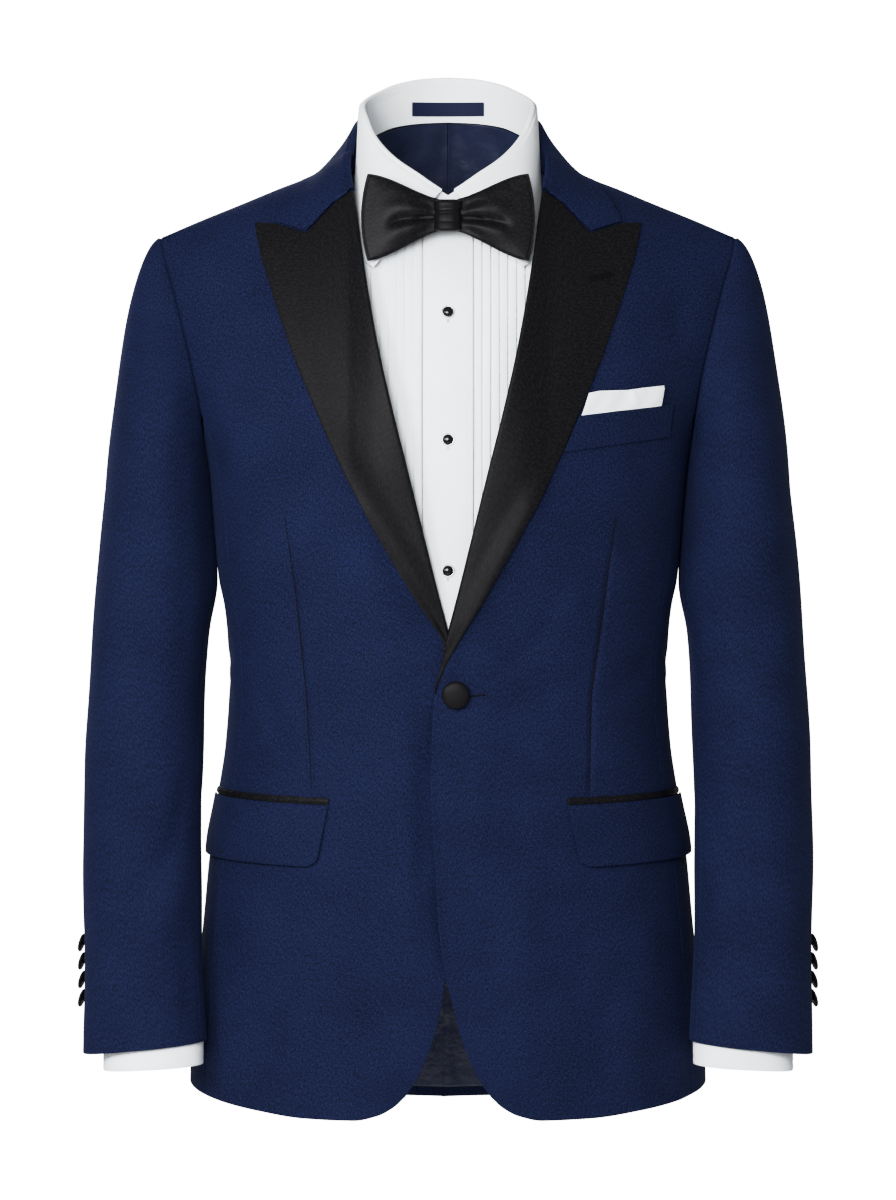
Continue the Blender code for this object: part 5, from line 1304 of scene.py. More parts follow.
def breast_pocket(cloth):
    front_top = (float(lapel_outer_x[1](WELT_TOP_FRONT_Z)) + BESIDE_LAPEL, WELT_TOP_FRONT_Z)
    front_foot = (float(lapel_outer_x[1](WELT_FOOT_FRONT_Z)) + BESIDE_LAPEL, WELT_FOOT_FRONT_Z)

    def welt_place(u, v):
        return [mix(mix(front_top[k], front_foot[k], v), mix(WELT_TOP_BACK[k], WELT_FOOT_BACK[k], v),
                    u) for k in range(2)]

    u, v = np.meshgrid(steps(44, 0.085), steps(16, 0.028))
    x, z = welt_place(u, v)
    turn = turn_at(x, z)
    from_end = (1 - u) * WELT_LENGTH
    stitch = sum(hump(from_end, inset, 0.4 * MM) for inset in STITCH_INSETS) * 0.22 * MM
    belly = 0.6 * MM * np.sin(math.pi * v) * np.sin(math.pi * u)
    height = LAPEL_LAID + WELT_CLOTH + front_relief(turn, z, 1) + belly - stitch
    piece = body_shell("cloth_breast_welt", turn, z, height, WELT_CLOTH, cloth["wool"])
    declare(piece, ["breast_welt"], ["front_left"])
    for number, inset in enumerate(STITCH_INSETS):
        v = np.linspace(0.05, 0.95, 10)
        pieces = []
        for a, b in zip(v[:-1], v[1:]):
            between = np.linspace(a + STITCH_GAP, b - STITCH_GAP, 5)
            x, z = welt_place(1 - inset / WELT_LENGTH, between)
            turn = turn_at(x, z)
            lift = LAPEL_LAID + WELT_CLOTH + front_relief(turn, z, 1)
            pieces.append(on_body(turn, z, lift))
        stitches(f"welt_stitches_{number + 1}", pieces, 0.16 * MM, cloth["navy_thread"])

    top_edge = path_through([(a * MM, b * MM) for a, b in SQUARE_TOP])
    slope = (WELT_TOP_BACK[1] - front_top[1]) / (WELT_TOP_BACK[0] - front_top[0])
    u, v = np.meshgrid(steps(70, 0.06), steps(20, 0.015))
    foot_x = mix(front_top[0] + 0.5 * MM, SQUARE_FOOT_BACK[0], u)
    foot_z = front_top[1] + slope * (foot_x - front_top[0]) - 3.5 * MM
    head = top_edge(u)
    x, z = mix(head[..., 0], foot_x, v), mix(head[..., 1], foot_z, v)
    turn = turn_at(x, z)
    base, normals = body_point(turn, z), body_normal(turn, z)
    folds = 0.5 * MM * np.sin(u * 9 + v) + 0.35 * MM * np.sin(u * 21 + 2 * v)
    folds += 1.1 * MM * hump(u - 0.12 * v, 0.58, 0.05) * (1 - v)
    relief = front_relief(turn, z, 1)
    under = ease(v, 0.55, 0.9)
    for number, (back, lower) in enumerate(((0.0, 0.0), (0.9, 1.6))):
        out = mix(LAPEL_LAID + 1.5 * MM, LAPEL_LAID + 0.9 * MM, under) - back * 0.5 * MM
        height = out + relief + folds * (1 - under) * (1 if number == 0 else 0.5)
        points = raised(base, normals, height)
        if number:
            points = points + np.array((0, 0, lower * MM)) * (1 - v[..., None])
        piece = shell(f"cloth_pocket_square_{number + 1}", points, normals, 0.55 * MM,
                      cloth["poplin"])
        declare(piece, ["pocket_square"] if number == 0 else [],
                ["breast_welt"])


def stitches(name, lines, radius, material):
    """Many short threads joined into one piece."""
    vertices, faces = [], []
    for line in lines:
        thinner = np.sin(np.linspace(0.25, math.pi - 0.25, len(line))) ** 0.6
        rings = rings_round(line, np.gradient(line, axis=0), radius * thinner, THREAD_SIDES)
        faces += ring_faces(len(line), THREAD_SIDES, first=len(vertices))
        vertices.extend(rings.reshape(-1, 3).tolist())
    piece = mesh_object(name, vertices, faces, [material])
    return declare(piece, [], sheet=False)


def seamed_dart_shades(cloth):
    """The sewn line at the foot of each front's dart, laid as a black thread: the seam is real, its
    darkness is painted shade in the dart's groove.
    """
    for side, points in DARTS.items():
        x, z = np.array(points, float).T * MM
        level = np.linspace(z[0], z[-1], 70)
        across = np.interp(-level, -z, x)
        turn = turn_at(across, level)
        height = front_relief(turn, level, side) + overlap_shift(turn, level, FRONT_SHIFT * side)
        line = on_body(turn, level, height + 0.3 * MM) * np.array((side, 1, 1))
        # A black thread in the groove: painted shade along the dart's seam.
        stitches("seamed_dart_shade_" + end_of(side), [line], 0.5 * MM, cloth["thread"])


# ---------------------------------------------------------------- buttons and studs


def turned(name, profile, segments, seat, axis, materials, nodes, bumps=None,
           split=0):
    """A round piece from (radius, height) rows; the first rings, split of them, are the rim."""
    profile = np.array(profile, float)
    angle = circle(segments)
    radius, height = profile[:, :1], profile[:, 1:]
    grid_height = np.broadcast_to(height, (len(profile), segments)).copy()
    if bumps is not None:
        grid_height += bumps(angle[None, :], radius / profile[:, 0].max())
    x, y = radius * np.cos(angle), radius * np.sin(angle)
    points = np.stack([x, y, grid_height], -1).reshape(-1, 3)
    turn = Vector(axis).to_track_quat("Z", "Y").to_matrix()
    points = points @ np.array(turn).T + np.array(seat)
    faces = ring_faces(len(profile), segments)
    index = [int(face // segments < split) for face in range(len(faces) - 2)]
    piece = mesh_object(name, points, faces, materials, None, index + [0, 0])
    return declare(piece, nodes, sheet=False)


def covered_button(radius, thickness, low, shank):
    """The profile of a cloth covered button on its shank, with a soft rim."""
    shape = ((0.80, 0.0), (0.90, 0.04), (0.965, 0.14), (1.0, 0.32), (0.995, 0.46), (0.965, 0.6),
             (0.90, 0.73), (0.8, 0.83), (0.66, 0.9), (0.5, 0.95), (0.34, 0.98), (0.18, 0.995),
             (0.05, 1.0))
    return [(shank, 0), (shank, low)] + [(radius * r, low + thickness * h) for r, h in shape]


BUTTON_X = 6 * MM
BUTTON_Z = -422 * MM
BUTTON_RADIUS = 10.9 * MM


def front_button(cloth):
    turn = turn_at(BUTTON_X, BUTTON_Z)
    normal = body_normal(turn, np.array(BUTTON_Z))
    seat = body_point(turn, np.array(BUTTON_Z)) + normal * (FRONT_SHIFT + 0.35 * MM)
    profile = covered_button(BUTTON_RADIUS, 4.6 * MM, 2.9 * MM, 4 * MM)

    def gathers(angle, share):
        return (np.sin(angle * 14) * 0.12 + np.sin(angle * 5 + 1) * 0.12) * MM * ease(share, 0.7, 1)

    turned("satin_front_button", profile, 56, seat, normal, [cloth["satin"]], ["front_button"],
           gathers)


SLEEVE_BUTTONS_TOP = -623 * MM
SLEEVE_BUTTON_STEP = 14.4 * MM
SLEEVE_BUTTON_RADIUS = 7.4 * MM
SLEEVE_BUTTON_PLACE = 0.965
SLEEVE_BUTTON_TILT = math.radians(19)


def sleeve_buttons(side, cloth):
    end = end_of(side)
    profile = covered_button(SLEEVE_BUTTON_RADIUS, 2.8 * MM, 1.3 * MM, 1.6 * MM)

    def gathers(angle, share):
        return np.sin(angle * 11) * 0.07 * MM * ease(share, 0.7, 1)

    place = np.array(SLEEVE_BUTTON_PLACE)
    hem_z = float(sleeve_hem_z(SLEEVE_BUTTON_PLACE))
    mirror = np.array((side, 1, 1))
    for number in range(4):
        z = SLEEVE_BUTTONS_TOP - number * SLEEVE_BUTTON_STEP
        way = np.array(1 + (CAP_BOTTOM - z) / (CAP_BOTTOM - hem_z))
        seat, out = sleeve_point(place, way), sleeve_normal(place, way)
        hinge = Vector(np.cross(out, (0, 0, 1))).normalized()
        axis = np.array(Matrix.Rotation(SLEEVE_BUTTON_TILT, 3, hinge) @ Vector(out))
        seat = seat + out * 1.1 * MM
        name = f"sleeve_button_{end}_{number + 1}"
        turned("satin_" + name, profile, 40, seat * mirror, axis * mirror, [cloth["satin"]],
               [name], gathers)

# ---------------------------------------------------------------- shirt

SHIRT_NECK = table(
    "turn fold foot",
    (0, -29, -57), (10, -21.5, -53.5), (20, -13.5, -48.5), (37, -1.5, -36), (60, 18, -14),
    (77, 35, 0), (90, 42, 8), (110, 49, 16), (125, 54, 22), (142, 60.5, 27.5), (164, 65.3, 30.7),
    (180, 66.4, 31.5),
)
shirt_fold_z = degree_column(SHIRT_NECK, "fold")
shirt_foot_z = degree_column(SHIRT_NECK, "foot")
NECK_HALF_WIDTH = 67.4 * MM
NECK_HALF_DEPTH = 68.4 * MM


def neck_point(turn, height, out):
    x = (NECK_HALF_WIDTH + out) * np.sin(turn)
    y = NECK_CENTRE_Y - (NECK_HALF_DEPTH + out) * np.cos(turn)
    return stack(x, y, height)


def neck_outward(turn):
    return stack(np.sin(turn), -np.cos(turn), 0.0)


def neck_band(name, top, foot, out, thickness, rows, material, node, rests_on):
    """A ring of cloth round the neck; top and foot give its heights for each turn."""
    turn = np.linspace(0, 2 * math.pi, 121)[:-1]
    from_front = np.where(turn <= math.pi, turn, 2 * math.pi - turn)
    height = mix(top(from_front)[None], foot(from_front)[None], steps(rows, 0.012)[:, None])
    turn = np.broadcast_to(turn[None], height.shape)
    points = neck_point(turn, height, out)
    piece = shell(name, points, neck_outward(turn), thickness, material, closed=True)
    return declare(piece, [node], [rests_on])


LEAF_EDGE = table(
    "turn x y z",
    (180, 0, 77.3, 36), (150, 35.1, 67.7, 34), (125, 57.6, 46.9, 29.5), (105, 67.9, 24.4, 21),
    (90, 71, 6, 6), (75, 73, -11, -12), (55, 74, -36, -38), (40, 72, -58.5, -57),
    (25, 68, -70, -75), (12, 63.5, -77, -83.5), (4, 58.6, -82, -87.1),
)
LEAF_OUT = 2.4 * MM
LEAF_ROLL_FRONT = 1.8 * MM
LEAF_ROLL_BACK = 0.3 * MM
LEAF_SEAM = 6.0 * MM             # the leaf runs this far down inside, to its seam with the stand
LABEL_TOP = 47.5 * MM
LABEL_FOOT = 36.3 * MM
LABEL_HALF_TURN = math.radians(26.3)


def shirt_collar(cloth):
    neck_band("cloth_shirt_stand", lambda turn: shirt_fold_z(turn) - 0.8 * MM, shirt_foot_z, 0,
              POPLIN, 12, cloth["poplin"], "shirt_stand", "shirt_placket")
    edge = [degree_column(LEAF_EDGE, axis) for axis in ("x", "y", "z")]
    share = steps(94, 0.25, start=False)
    turn = mix(math.pi, math.radians(4), share)
    k = steps(30, 0.055, start=False)[:, None]
    turns = np.broadcast_to(turn[None], (len(k), len(turn)))
    fold = neck_point(turns, shirt_fold_z(turns), LEAF_OUT)
    foot = stack(*[axis(turns) for axis in edge])
    out = neck_outward(turns)
    roll = mix(LEAF_ROLL_FRONT, LEAF_ROLL_BACK, ease(turns, math.radians(50), math.radians(95)))
    k3 = k[..., None]
    points = mix(fold, foot, k3) + out * (roll * np.sin(math.pi * k ** 0.6))[..., None]
    normals = grid_normals(points)
    from_edge = (1 - k) * 0.05
    dent = 0.16 * MM * hump(from_edge, 6 * MM, 0.8 * MM) + 0 * turns
    soft = 0.35 * MM * np.sin(turns * 7) * k * (1 - k) * 4
    points = raised(points, normals, soft - dent)
    row_out = out[:1]
    radius = (LEAF_OUT + POPLIN + 0.35 * MM) / 2
    rows, row_normals = [], []
    for down in (1.0, 0.93, 0.8, 0.6, 0.4, 0.2, 0.0):
        rows.append(points[:1] - row_out * 2 * radius - UP * down * LEAF_SEAM)
        row_normals.append(-row_out)
    for angle in np.radians((160, 140, 120, 100, 80, 60, 40, 20)):
        rows.append(points[:1] - row_out * radius * (1 - math.cos(angle))
                    + UP * radius * math.sin(angle) * 0.7)
        row_normals.append(unit(row_out * math.cos(angle) + UP * math.sin(angle)))
    normals[:1] = unit(row_out + UP * 0.2)
    points = np.concatenate(rows + [points])
    normals = np.concatenate(row_normals + [normals])
    thick = np.full(points.shape[:2], POPLIN)
    thick[:len(rows)] = 0.45 * MM
    thick = np.concatenate([thick[:, :0:-1], thick], axis=1)
    piece = shell("cloth_shirt_leaf", both_ways(points), both_ways(normals), thick,
                  cloth["poplin"])
    declare(piece, ["shirt_leaf"], ["shirt_stand"])

    across = mix(math.pi - LABEL_HALF_TURN, math.pi + LABEL_HALF_TURN, steps(50, 0.062))
    turn, v = np.meshgrid(across, steps(12, 0.0113))
    normals = -neck_outward(turn)
    points = neck_point(turn, mix(LABEL_TOP, LABEL_FOOT, v), -POPLIN - 1.25 * MM)
    piece = shell("cloth_neck_label", points, normals, 0.5 * MM, cloth["label"])
    declare(piece, ["neck_label"], ["shirt_stand"])


SHIRT_FRONT = table(
    "z y",
    (-40, -58), (-57, -65.4), (-75, -75), (-95, -84), (-120, -92.5), (-160, -101.5), (-200, -107),
    (-260, -112), (-330, -115.5), (-430, -118.4), (-490, -119.9),
)
shirt_front_y = column(SHIRT_FRONT, "z", "y")
SHIRT_ROUNDNESS = 140 * MM
PLACKET_HALF_WIDTH = 19.6 * MM
PLEAT_STEP = 6.8 * MM
PLEATS = 8
PLEAT_HEIGHT = 1.1 * MM
BIB_TOP = -57 * MM
BIB_FOOT = -488 * MM
PLACKET_TOP = -58 * MM
PLACKET_HEIGHT = 1.4 * MM
COVERED_SINK = 5 * MM            # the shirt lies this much deeper under the closed fronts
COVERED_FROM = (385 * MM, 430 * MM)


def shirt_place(x, z):
    """A point on the shirt front and the direction straight out of it."""
    bend = 1 - np.sqrt(1 - (x / SHIRT_ROUNDNESS) ** 2)
    y = shirt_front_y(z) * (1 - bend)
    slope = (shirt_front_y(z + 1 * MM) - shirt_front_y(z - 1 * MM)) / (2 * MM)
    side_slope = -shirt_front_y(z) * x / SHIRT_ROUNDNESS ** 2
    return stack(x, y, z), unit(stack(side_slope, -1.0, slope))


def pleated_bib(side, cloth):
    """Pleats pressed away from the placket; their folds wander and open a little."""
    shape = ((0.0, -1.1), (0.04, -0.6), (0.1, 0.1), (0.3, 0.42), (0.55, 0.75), (0.75, 0.93),
             (0.87, 1.0), (0.92, 0.94), (0.955, 0.6), (0.98, -0.4))
    columns = np.array([(i + a, h) for i in range(PLEATS) for a, h in shape])
    z = mix(BIB_TOP, BIB_FOOT, steps(78, 0.43))[:, None]
    number = np.floor(columns[:, 0])[None]
    wander = 0.14 * MM * np.sin(z * 19 + number * 2.1 + side) * np.ones_like(number)
    x = PLACKET_HALF_WIDTH + 0.5 * MM + columns[None, :, 0] * PLEAT_STEP + wander
    open_up = 1 + 0.25 * np.sin(z * 13 + number * 1.7 + side)
    height = columns[None, :, 1] * PLEAT_HEIGHT * open_up
    height = height + 0.5 * MM * np.sin(z * 15 + side + x * 12) * ease(-z, 0.08, 0.2) - 0.3 * MM
    height = height - COVERED_SINK * ease(-z, *COVERED_FROM)
    points, normals = shirt_place(x + 0 * z, z + 0 * x)
    name = "bib_" + end_of(side)
    piece = shell("cloth_" + name, raised(points, normals, height), normals, POPLIN * 0.8,
                  cloth["poplin"], Edges(PLAIN, PLAIN, PLAIN, PLAIN), side=side)
    declare(piece, [name], ["shirt_placket"])


def shirt_front(cloth):
    for side in (1, -1):
        pleated_bib(side, cloth)
    x, z = np.meshgrid(mix(-PLACKET_HALF_WIDTH, PLACKET_HALF_WIDTH, steps(34, 0.039)),
                       mix(PLACKET_TOP, BIB_FOOT, steps(110, 0.43)))
    points, normals = shirt_place(x, z)
    from_edge = PLACKET_HALF_WIDTH - np.abs(x)
    height = PLACKET_HEIGHT - COVERED_SINK * ease(-z, *COVERED_FROM)
    height = height - 0.2 * MM * hump(from_edge, 3.2 * MM, 0.7 * MM)
    height = height + 0.3 * MM * np.sin(z * 24) + 0.25 * MM * np.sin(z * 51 + x * 60)
    for stud_z in STUD_HEIGHTS:
        height = height - 0.5 * MM * np.exp(-((x ** 2 + (z - stud_z) ** 2) / (9 * MM) ** 2))
    piece = shell("cloth_shirt_placket", raised(points, normals, height), normals, POPLIN,
                  cloth["poplin"])
    declare(piece, ["shirt_placket"], ["bib_left", "bib_right"])
    holes = []
    for stud_z in STUD_HEIGHTS:
        for x in (-0.55 * MM, 0.55 * MM):
            z = np.linspace(stud_z - 5.4 * MM, stud_z - 8.2 * MM, 6)
            points, normals = shirt_place(np.full(6, x), z)
            holes.append(points + normals * (PLACKET_HEIGHT + 0.12 * MM))
    stitches("stud_hole_threads", holes, 0.3 * MM, cloth["white_thread"])


STUD_HEIGHTS = (-122.4 * MM, -222.4 * MM, -325.1 * MM)
STUD_PROFILE = (
    (4.6, 0), (5.0, 0.25), (5.05, 0.75), (4.85, 1.15), (4.5, 1.3), (4.32, 1.15), (4.25, 1.2),
    (4.1, 1.75), (3.7, 2.35), (3.1, 2.85), (2.3, 3.2), (1.4, 3.42), (0.5, 3.5),
)
STUD_RIM_RINGS = 6


def studs(cloth):
    profile = [(radius * MM, height * MM) for radius, height in STUD_PROFILE]
    for number, z in enumerate(STUD_HEIGHTS):
        point, normal = shirt_place(np.array(0.0), np.array(z))
        seat = point + normal * (PLACKET_HEIGHT + SEAM - 0.3 * MM)
        turned(f"gem_stud_{number + 1}", profile, 44, seat, normal, [cloth["stud"], cloth["rim"]],
               [f"stud_{number + 1}"], split=STUD_RIM_RINGS)


CUFF_INNER_X = 193.6 * MM
CUFF_OUTER_X = 272.8 * MM
CUFF_CLEAR = 0.7 * MM
CUFF_HALF_DEPTH = 32 * MM
CUFF_TOP = -669.5 * MM
CUFF_FOOT = -718.5 * MM
CUFF_TILT = 2.5 * MM
CUFF_BACK = 0.2 * MM


def shirt_cuff(side, cloth):
    name = "shirt_cuff_" + end_of(side)
    reach = 2 / SLEEVE_POWER
    angle, v = np.meshgrid(np.linspace(0, 2 * math.pi, 105)[:-1], steps(18, 0.048))
    z = mix(CUFF_TOP, CUFF_FOOT - CUFF_TILT * np.cos(angle), v)
    inner = np.maximum(CUFF_INNER_X, sleeve_inner(z) + WOOL_SLEEVE + CUFF_CLEAR)
    half = (CUFF_OUTER_X - inner) / 2
    x = (CUFF_OUTER_X + inner) / 2 + half * signed_power(np.cos(angle), reach)
    y = sleeve_centre_y(z) + CUFF_BACK - CUFF_HALF_DEPTH * signed_power(np.sin(angle), reach)
    points = stack(x, y, z)
    ring = np.concatenate([points[:, -1:], points, points[:, :1]], axis=1)
    normals = -grid_normals(ring)[:, 1:-1]
    if normals[len(normals) // 2, 0, 0] < 0:
        normals = -normals
    from_edge = (1 - v) * 0.047
    seam = 0.15 * MM * hump(from_edge, 5.5 * MM, 0.8 * MM)
    height = 0.3 * MM * np.sin(angle * 3 + side) * v - seam
    piece = shell("cloth_" + name, raised(points, normals, height), normals, POPLIN,
                  cloth["poplin"], Edges(PLAIN, FREE, PLAIN, PLAIN), closed=True, side=side)
    declare(piece, [name], ["under_sleeve_" + end_of(side)])


# ---------------------------------------------------------------- bow tie

BOW_CENTRE_Z = -47.5 * MM
BOW_CENTRE_Y = -84 * MM
BOW_LEAN = 0.18
KNOT_HALF_WIDTH = 12 * MM
KNOT_HALF_HEIGHT = 12.4 * MM
KNOT_RISE = 1.6 * MM
KNOT_BACK_Y = -66 * MM
KNOT_FRONT_Y = -93 * MM
BOW_TIP_X = 62 * MM
BOW_TIP_BULGE = 5 * MM
BOW_TIP_HALF_HEIGHT = 33 * MM
BOW_EDGE = 2.4 * MM
BOW_PUFF = 6.5 * MM

# Folds of a wing: x counts from the bow's middle outward and z from its middle up.
WING_FOLDS = table(
    FOLD,
    (9, -1.0, 48, -6.0, 2.0, 2.6, -3.2), (9, -0.5, 30, -3.0, 0.8, 1.2, -1.6),
    (11, 6.5, 30, 14, 1.2, 2.2, -1.2), (11, -8, 28, -17, 1.2, 2.2, -1.0),
    (9, 3.0, 50, 8, 2.6, 4.6, 1.7), (9, -5, 50, -15, 2.6, 4.6, 1.5), (24, 15, 48, 24, 2, 4.0, 0.8),
)


def bow_outline(u, v, grow=0.0):
    half = mix(KNOT_HALF_HEIGHT - 1 * MM, BOW_TIP_HALF_HEIGHT + grow, ease(u, -0.35, 1.05) ** 1.1)
    x = mix(KNOT_HALF_WIDTH + 0.4 * MM, BOW_TIP_X + grow + BOW_TIP_BULGE * (1 - v * v), u)
    z = BOW_CENTRE_Z + KNOT_RISE * (1 - u) + half * v
    y = BOW_CENTRE_Y + BOW_LEAN * (z - BOW_CENTRE_Z)
    return x, y, z


def bow_thickness(u, v):
    return (BOW_EDGE + BOW_PUFF * np.sin(math.pi * np.minimum(u * 0.8 + 0.2, 1)) ** 0.7
            * np.sqrt(np.clip(1 - v * v, 0, 1)))


def bow_wing(side, cloth):
    """A wing of two faces joined at a rounded edge, drawn in to the knot by its creases."""
    end = end_of(side)
    u, v = np.meshgrid(steps(54, 0.055) * 1.1 - 0.1, 1 - 2 * steps(56, 0.065))
    inner_u = np.clip(u, -0.1, 1)
    x, y, z = bow_outline(inner_u, v)
    half = bow_thickness(np.clip(inner_u, 0, 1), v) / 2
    folds = WING_FOLDS
    if side < 0:
        folds = [f._replace(z0=f.z0 + 0.6, z1=f.z1 + 1.6 * math.sin(i * 2.1 + 1),
                            height=f.height * 0.92) for i, f in enumerate(WING_FOLDS)]
    relief = fold_height(x, z - BOW_CENTRE_Z, folds)
    near_edge = np.minimum(1 - np.abs(v), (1 - inner_u) * 1.3)
    pad = np.sqrt(1 - (1 - np.clip(near_edge / 0.42, 0, 1)) ** 2)
    thin = 1.1 * MM
    drawn_in = 0.6 + 0.4 * ease(x, 11 * MM, 30 * MM)
    front = -np.maximum(thin + (half * drawn_in - thin) * pad + relief * pad, 0.5 * MM)
    back = thin + (half - thin) * pad * 0.7
    grid_front = stack(x, y + front, z)
    grid_back = stack(x, y + back, z)
    normals = grid_normals(grid_front)
    if normals[len(normals) // 2, normals.shape[1] // 2, 1] > 0:
        normals = -normals
    thickness = np.linalg.norm(grid_back - grid_front, axis=-1)
    direction = unit(grid_front - grid_back)
    piece = shell("satin_bow_wing_" + end, grid_front, direction, thickness, cloth["bow_satin"],
                  edges=Edges(FREE, FREE, PLAIN, FREE), side=side)
    declare(piece, ["bow_wing_" + end], sheet=False)

    u, v = np.meshgrid(steps(40, 0.05), 1 - 2 * steps(44, 0.068))
    x, y, z = bow_outline(u, v)
    half = bow_thickness(u, v) / 2
    x, y, z = bow_outline(0.1 + 0.9 * u, v, 1.5 * MM)
    y = y + half + 0.9 * MM + 0.5 * MM * np.sin(u * 5 + v * 3)
    points = stack(x, y, z)
    normals = np.broadcast_to(np.array((0.0, -1.0, 0.0)), points.shape)
    piece = shell("satin_bow_back_" + end, points, normals, 1.4 * MM, cloth["bow_satin"], side=side)
    declare(piece, ["bow_back_" + end], ["bow_wing_" + end])


def bow_knot(cloth):
    """The knot: a band gathered round the middle, waisted, with soft folds that lie across it."""
    middle_y = (KNOT_BACK_Y + KNOT_FRONT_Y) / 2
    half_depth = (KNOT_BACK_Y - KNOT_FRONT_Y) / 2
    profile = smooth_curve((-1, -0.93, -0.8, -0.4, 0, 0.4, 0.8, 0.93, 1),
                           (0.84, 0.93, 0.985, 0.965, 0.935, 0.965, 0.985, 0.93, 0.84))
    h = np.linspace(-1, 1, 40)[:, None]
    angle = np.linspace(0, 2 * math.pi, 97)[None, :-1]
    width = profile(h)
    skew = 0.05 * np.sin(angle * 2 + 0.6)
    folds = (-0.75 * MM * hump(h - skew, 0.22, 0.07) + 0.5 * MM * hump(h - skew, 0.44, 0.15)
             - 0.4 * MM * hump(h + skew, -0.42, 0.06) + 0.3 * MM * hump(h, -0.08, 0.2))
    x = (KNOT_HALF_WIDTH * width + folds * 0.5) * signed_power(np.cos(angle), 0.7)
    z = BOW_CENTRE_Z + KNOT_RISE + KNOT_HALF_HEIGHT * h + 0 * angle
    lean = BOW_LEAN * (z - BOW_CENTRE_Z)
    y = middle_y + lean - (half_depth * width + folds) * signed_power(np.sin(angle), 0.8)
    points = stack(x, y, z).reshape(-1, 3)
    faces = ring_faces(len(h), angle.shape[1])
    piece = mesh_object("satin_bow_knot", points, faces, [cloth["bow_satin"]])
    declare(piece, ["bow_knot"], sheet=False)


def bow(cloth):
    for side in (1, -1):
        bow_wing(side, cloth)
    bow_knot(cloth)
    neck_band("satin_bow_band", lambda turn: shirt_fold_z(turn) - 20 * MM,
              lambda turn: shirt_fold_z(turn) - 30 * MM, 0.9 * MM, 0.6 * MM, 6,
              cloth["bow_satin"], "bow_band", "shirt_stand")

# ---------------------------------------------------------------- materials


class Nodes:
    """A short way to write a procedural material."""

    def __init__(self, name):
        self.material = bpy.data.materials.new(name)
        self.material.use_nodes = True
        self.tree = self.material.node_tree
        self.shader = self.tree.nodes["Principled BSDF"]

    def add(self, kind, inputs=(), **settings):
        node = self.tree.nodes.new(kind)
        for key, value in settings.items():
            setattr(node, key, value)
        for key, value in dict(inputs).items():
            if isinstance(value, bpy.types.NodeSocket):
                self.tree.links.new(value, node.inputs[key])
            else:
                node.inputs[key].default_value = value
        return node

    def set(self, **values):
        for key, value in values.items():
            socket = self.shader.inputs[key.replace("_", " ")]
            if isinstance(value, bpy.types.NodeSocket):
                self.tree.links.new(value, socket)
            else:
                socket.default_value = value

    def math(self, kind, a, b):
        node = self.add("ShaderNodeMath", operation=kind)
        for i, value in enumerate((a, b)):
            if isinstance(value, bpy.types.NodeSocket):
                self.tree.links.new(value, node.inputs[i])
            else:
                node.inputs[i].default_value = value
        return node.outputs[0]

    def blend(self, *parts):
        """The sum of values, each times its share."""
        total = None
        for value, share in parts:
            part = self.math("MULTIPLY", value, share)
            total = part if total is None else self.math("ADD", total, part)
        return total

    def uneven(self, value, share, least):
        return self.math("ADD", self.math("MULTIPLY", value, share), least)

    def cloth_place(self, scale=(1, 1, 1), turn=0.0):
        """The place on the cloth, in metres along it, from its own layout."""
        uv = self.add("ShaderNodeUVMap", uv_map="cloth")
        return self.add("ShaderNodeMapping", {"Vector": uv.outputs[0], "Scale": scale,
                                              "Rotation": (0, 0, turn)}).outputs[0]

    def object_place(self):
        place = self.add("ShaderNodeTexCoord").outputs["Object"]
        return self.add("ShaderNodeMapping", {"Vector": place}).outputs[0]

    def noise(self, place, scale, detail=2.0, roughness=0.5):
        return self.add("ShaderNodeTexNoise", {"Vector": place, "Scale": scale, "Detail": detail,
                                               "Roughness": roughness}).outputs[0]

    def wave(self, place, scale, distortion):
        return self.add("ShaderNodeTexWave", {"Vector": place, "Scale": scale,
                                              "Distortion": distortion, "Detail": 1.0},
                        wave_type="BANDS", bands_direction="X",
                        wave_profile="SIN").outputs[1]

    def ramp(self, value, stops):
        node = self.add("ShaderNodeValToRGB", {"Fac": value})
        band = node.color_ramp
        while len(band.elements) < len(stops):
            band.elements.new(0.5)
        for element, (position, colour) in zip(band.elements, stops):
            element.position = position
            element.color = (*colour, 1)
        return node.outputs[0]

    def shades(self, value, colour, *stops):
        """A ramp through shades of one colour, as (position, how many times as light)."""
        return self.ramp(value, [(place, tuple(min(c * times, 1) for c in colour))
                                 for place, times in stops])

    def bump(self, height, distance, strength=1.0, under=None):
        inputs = {"Height": height, "Distance": distance, "Strength": strength}
        if under is not None:
            inputs["Normal"] = under
        return self.add("ShaderNodeBump", inputs).outputs[0]


NAVY = (0.0063, 0.0127, 0.0425)
SATIN_BLACK = (0.0052, 0.0052, 0.0066)
LINING_NAVY = (0.0215, 0.0305, 0.0690)
WHITE = (0.86, 0.89, 0.915)


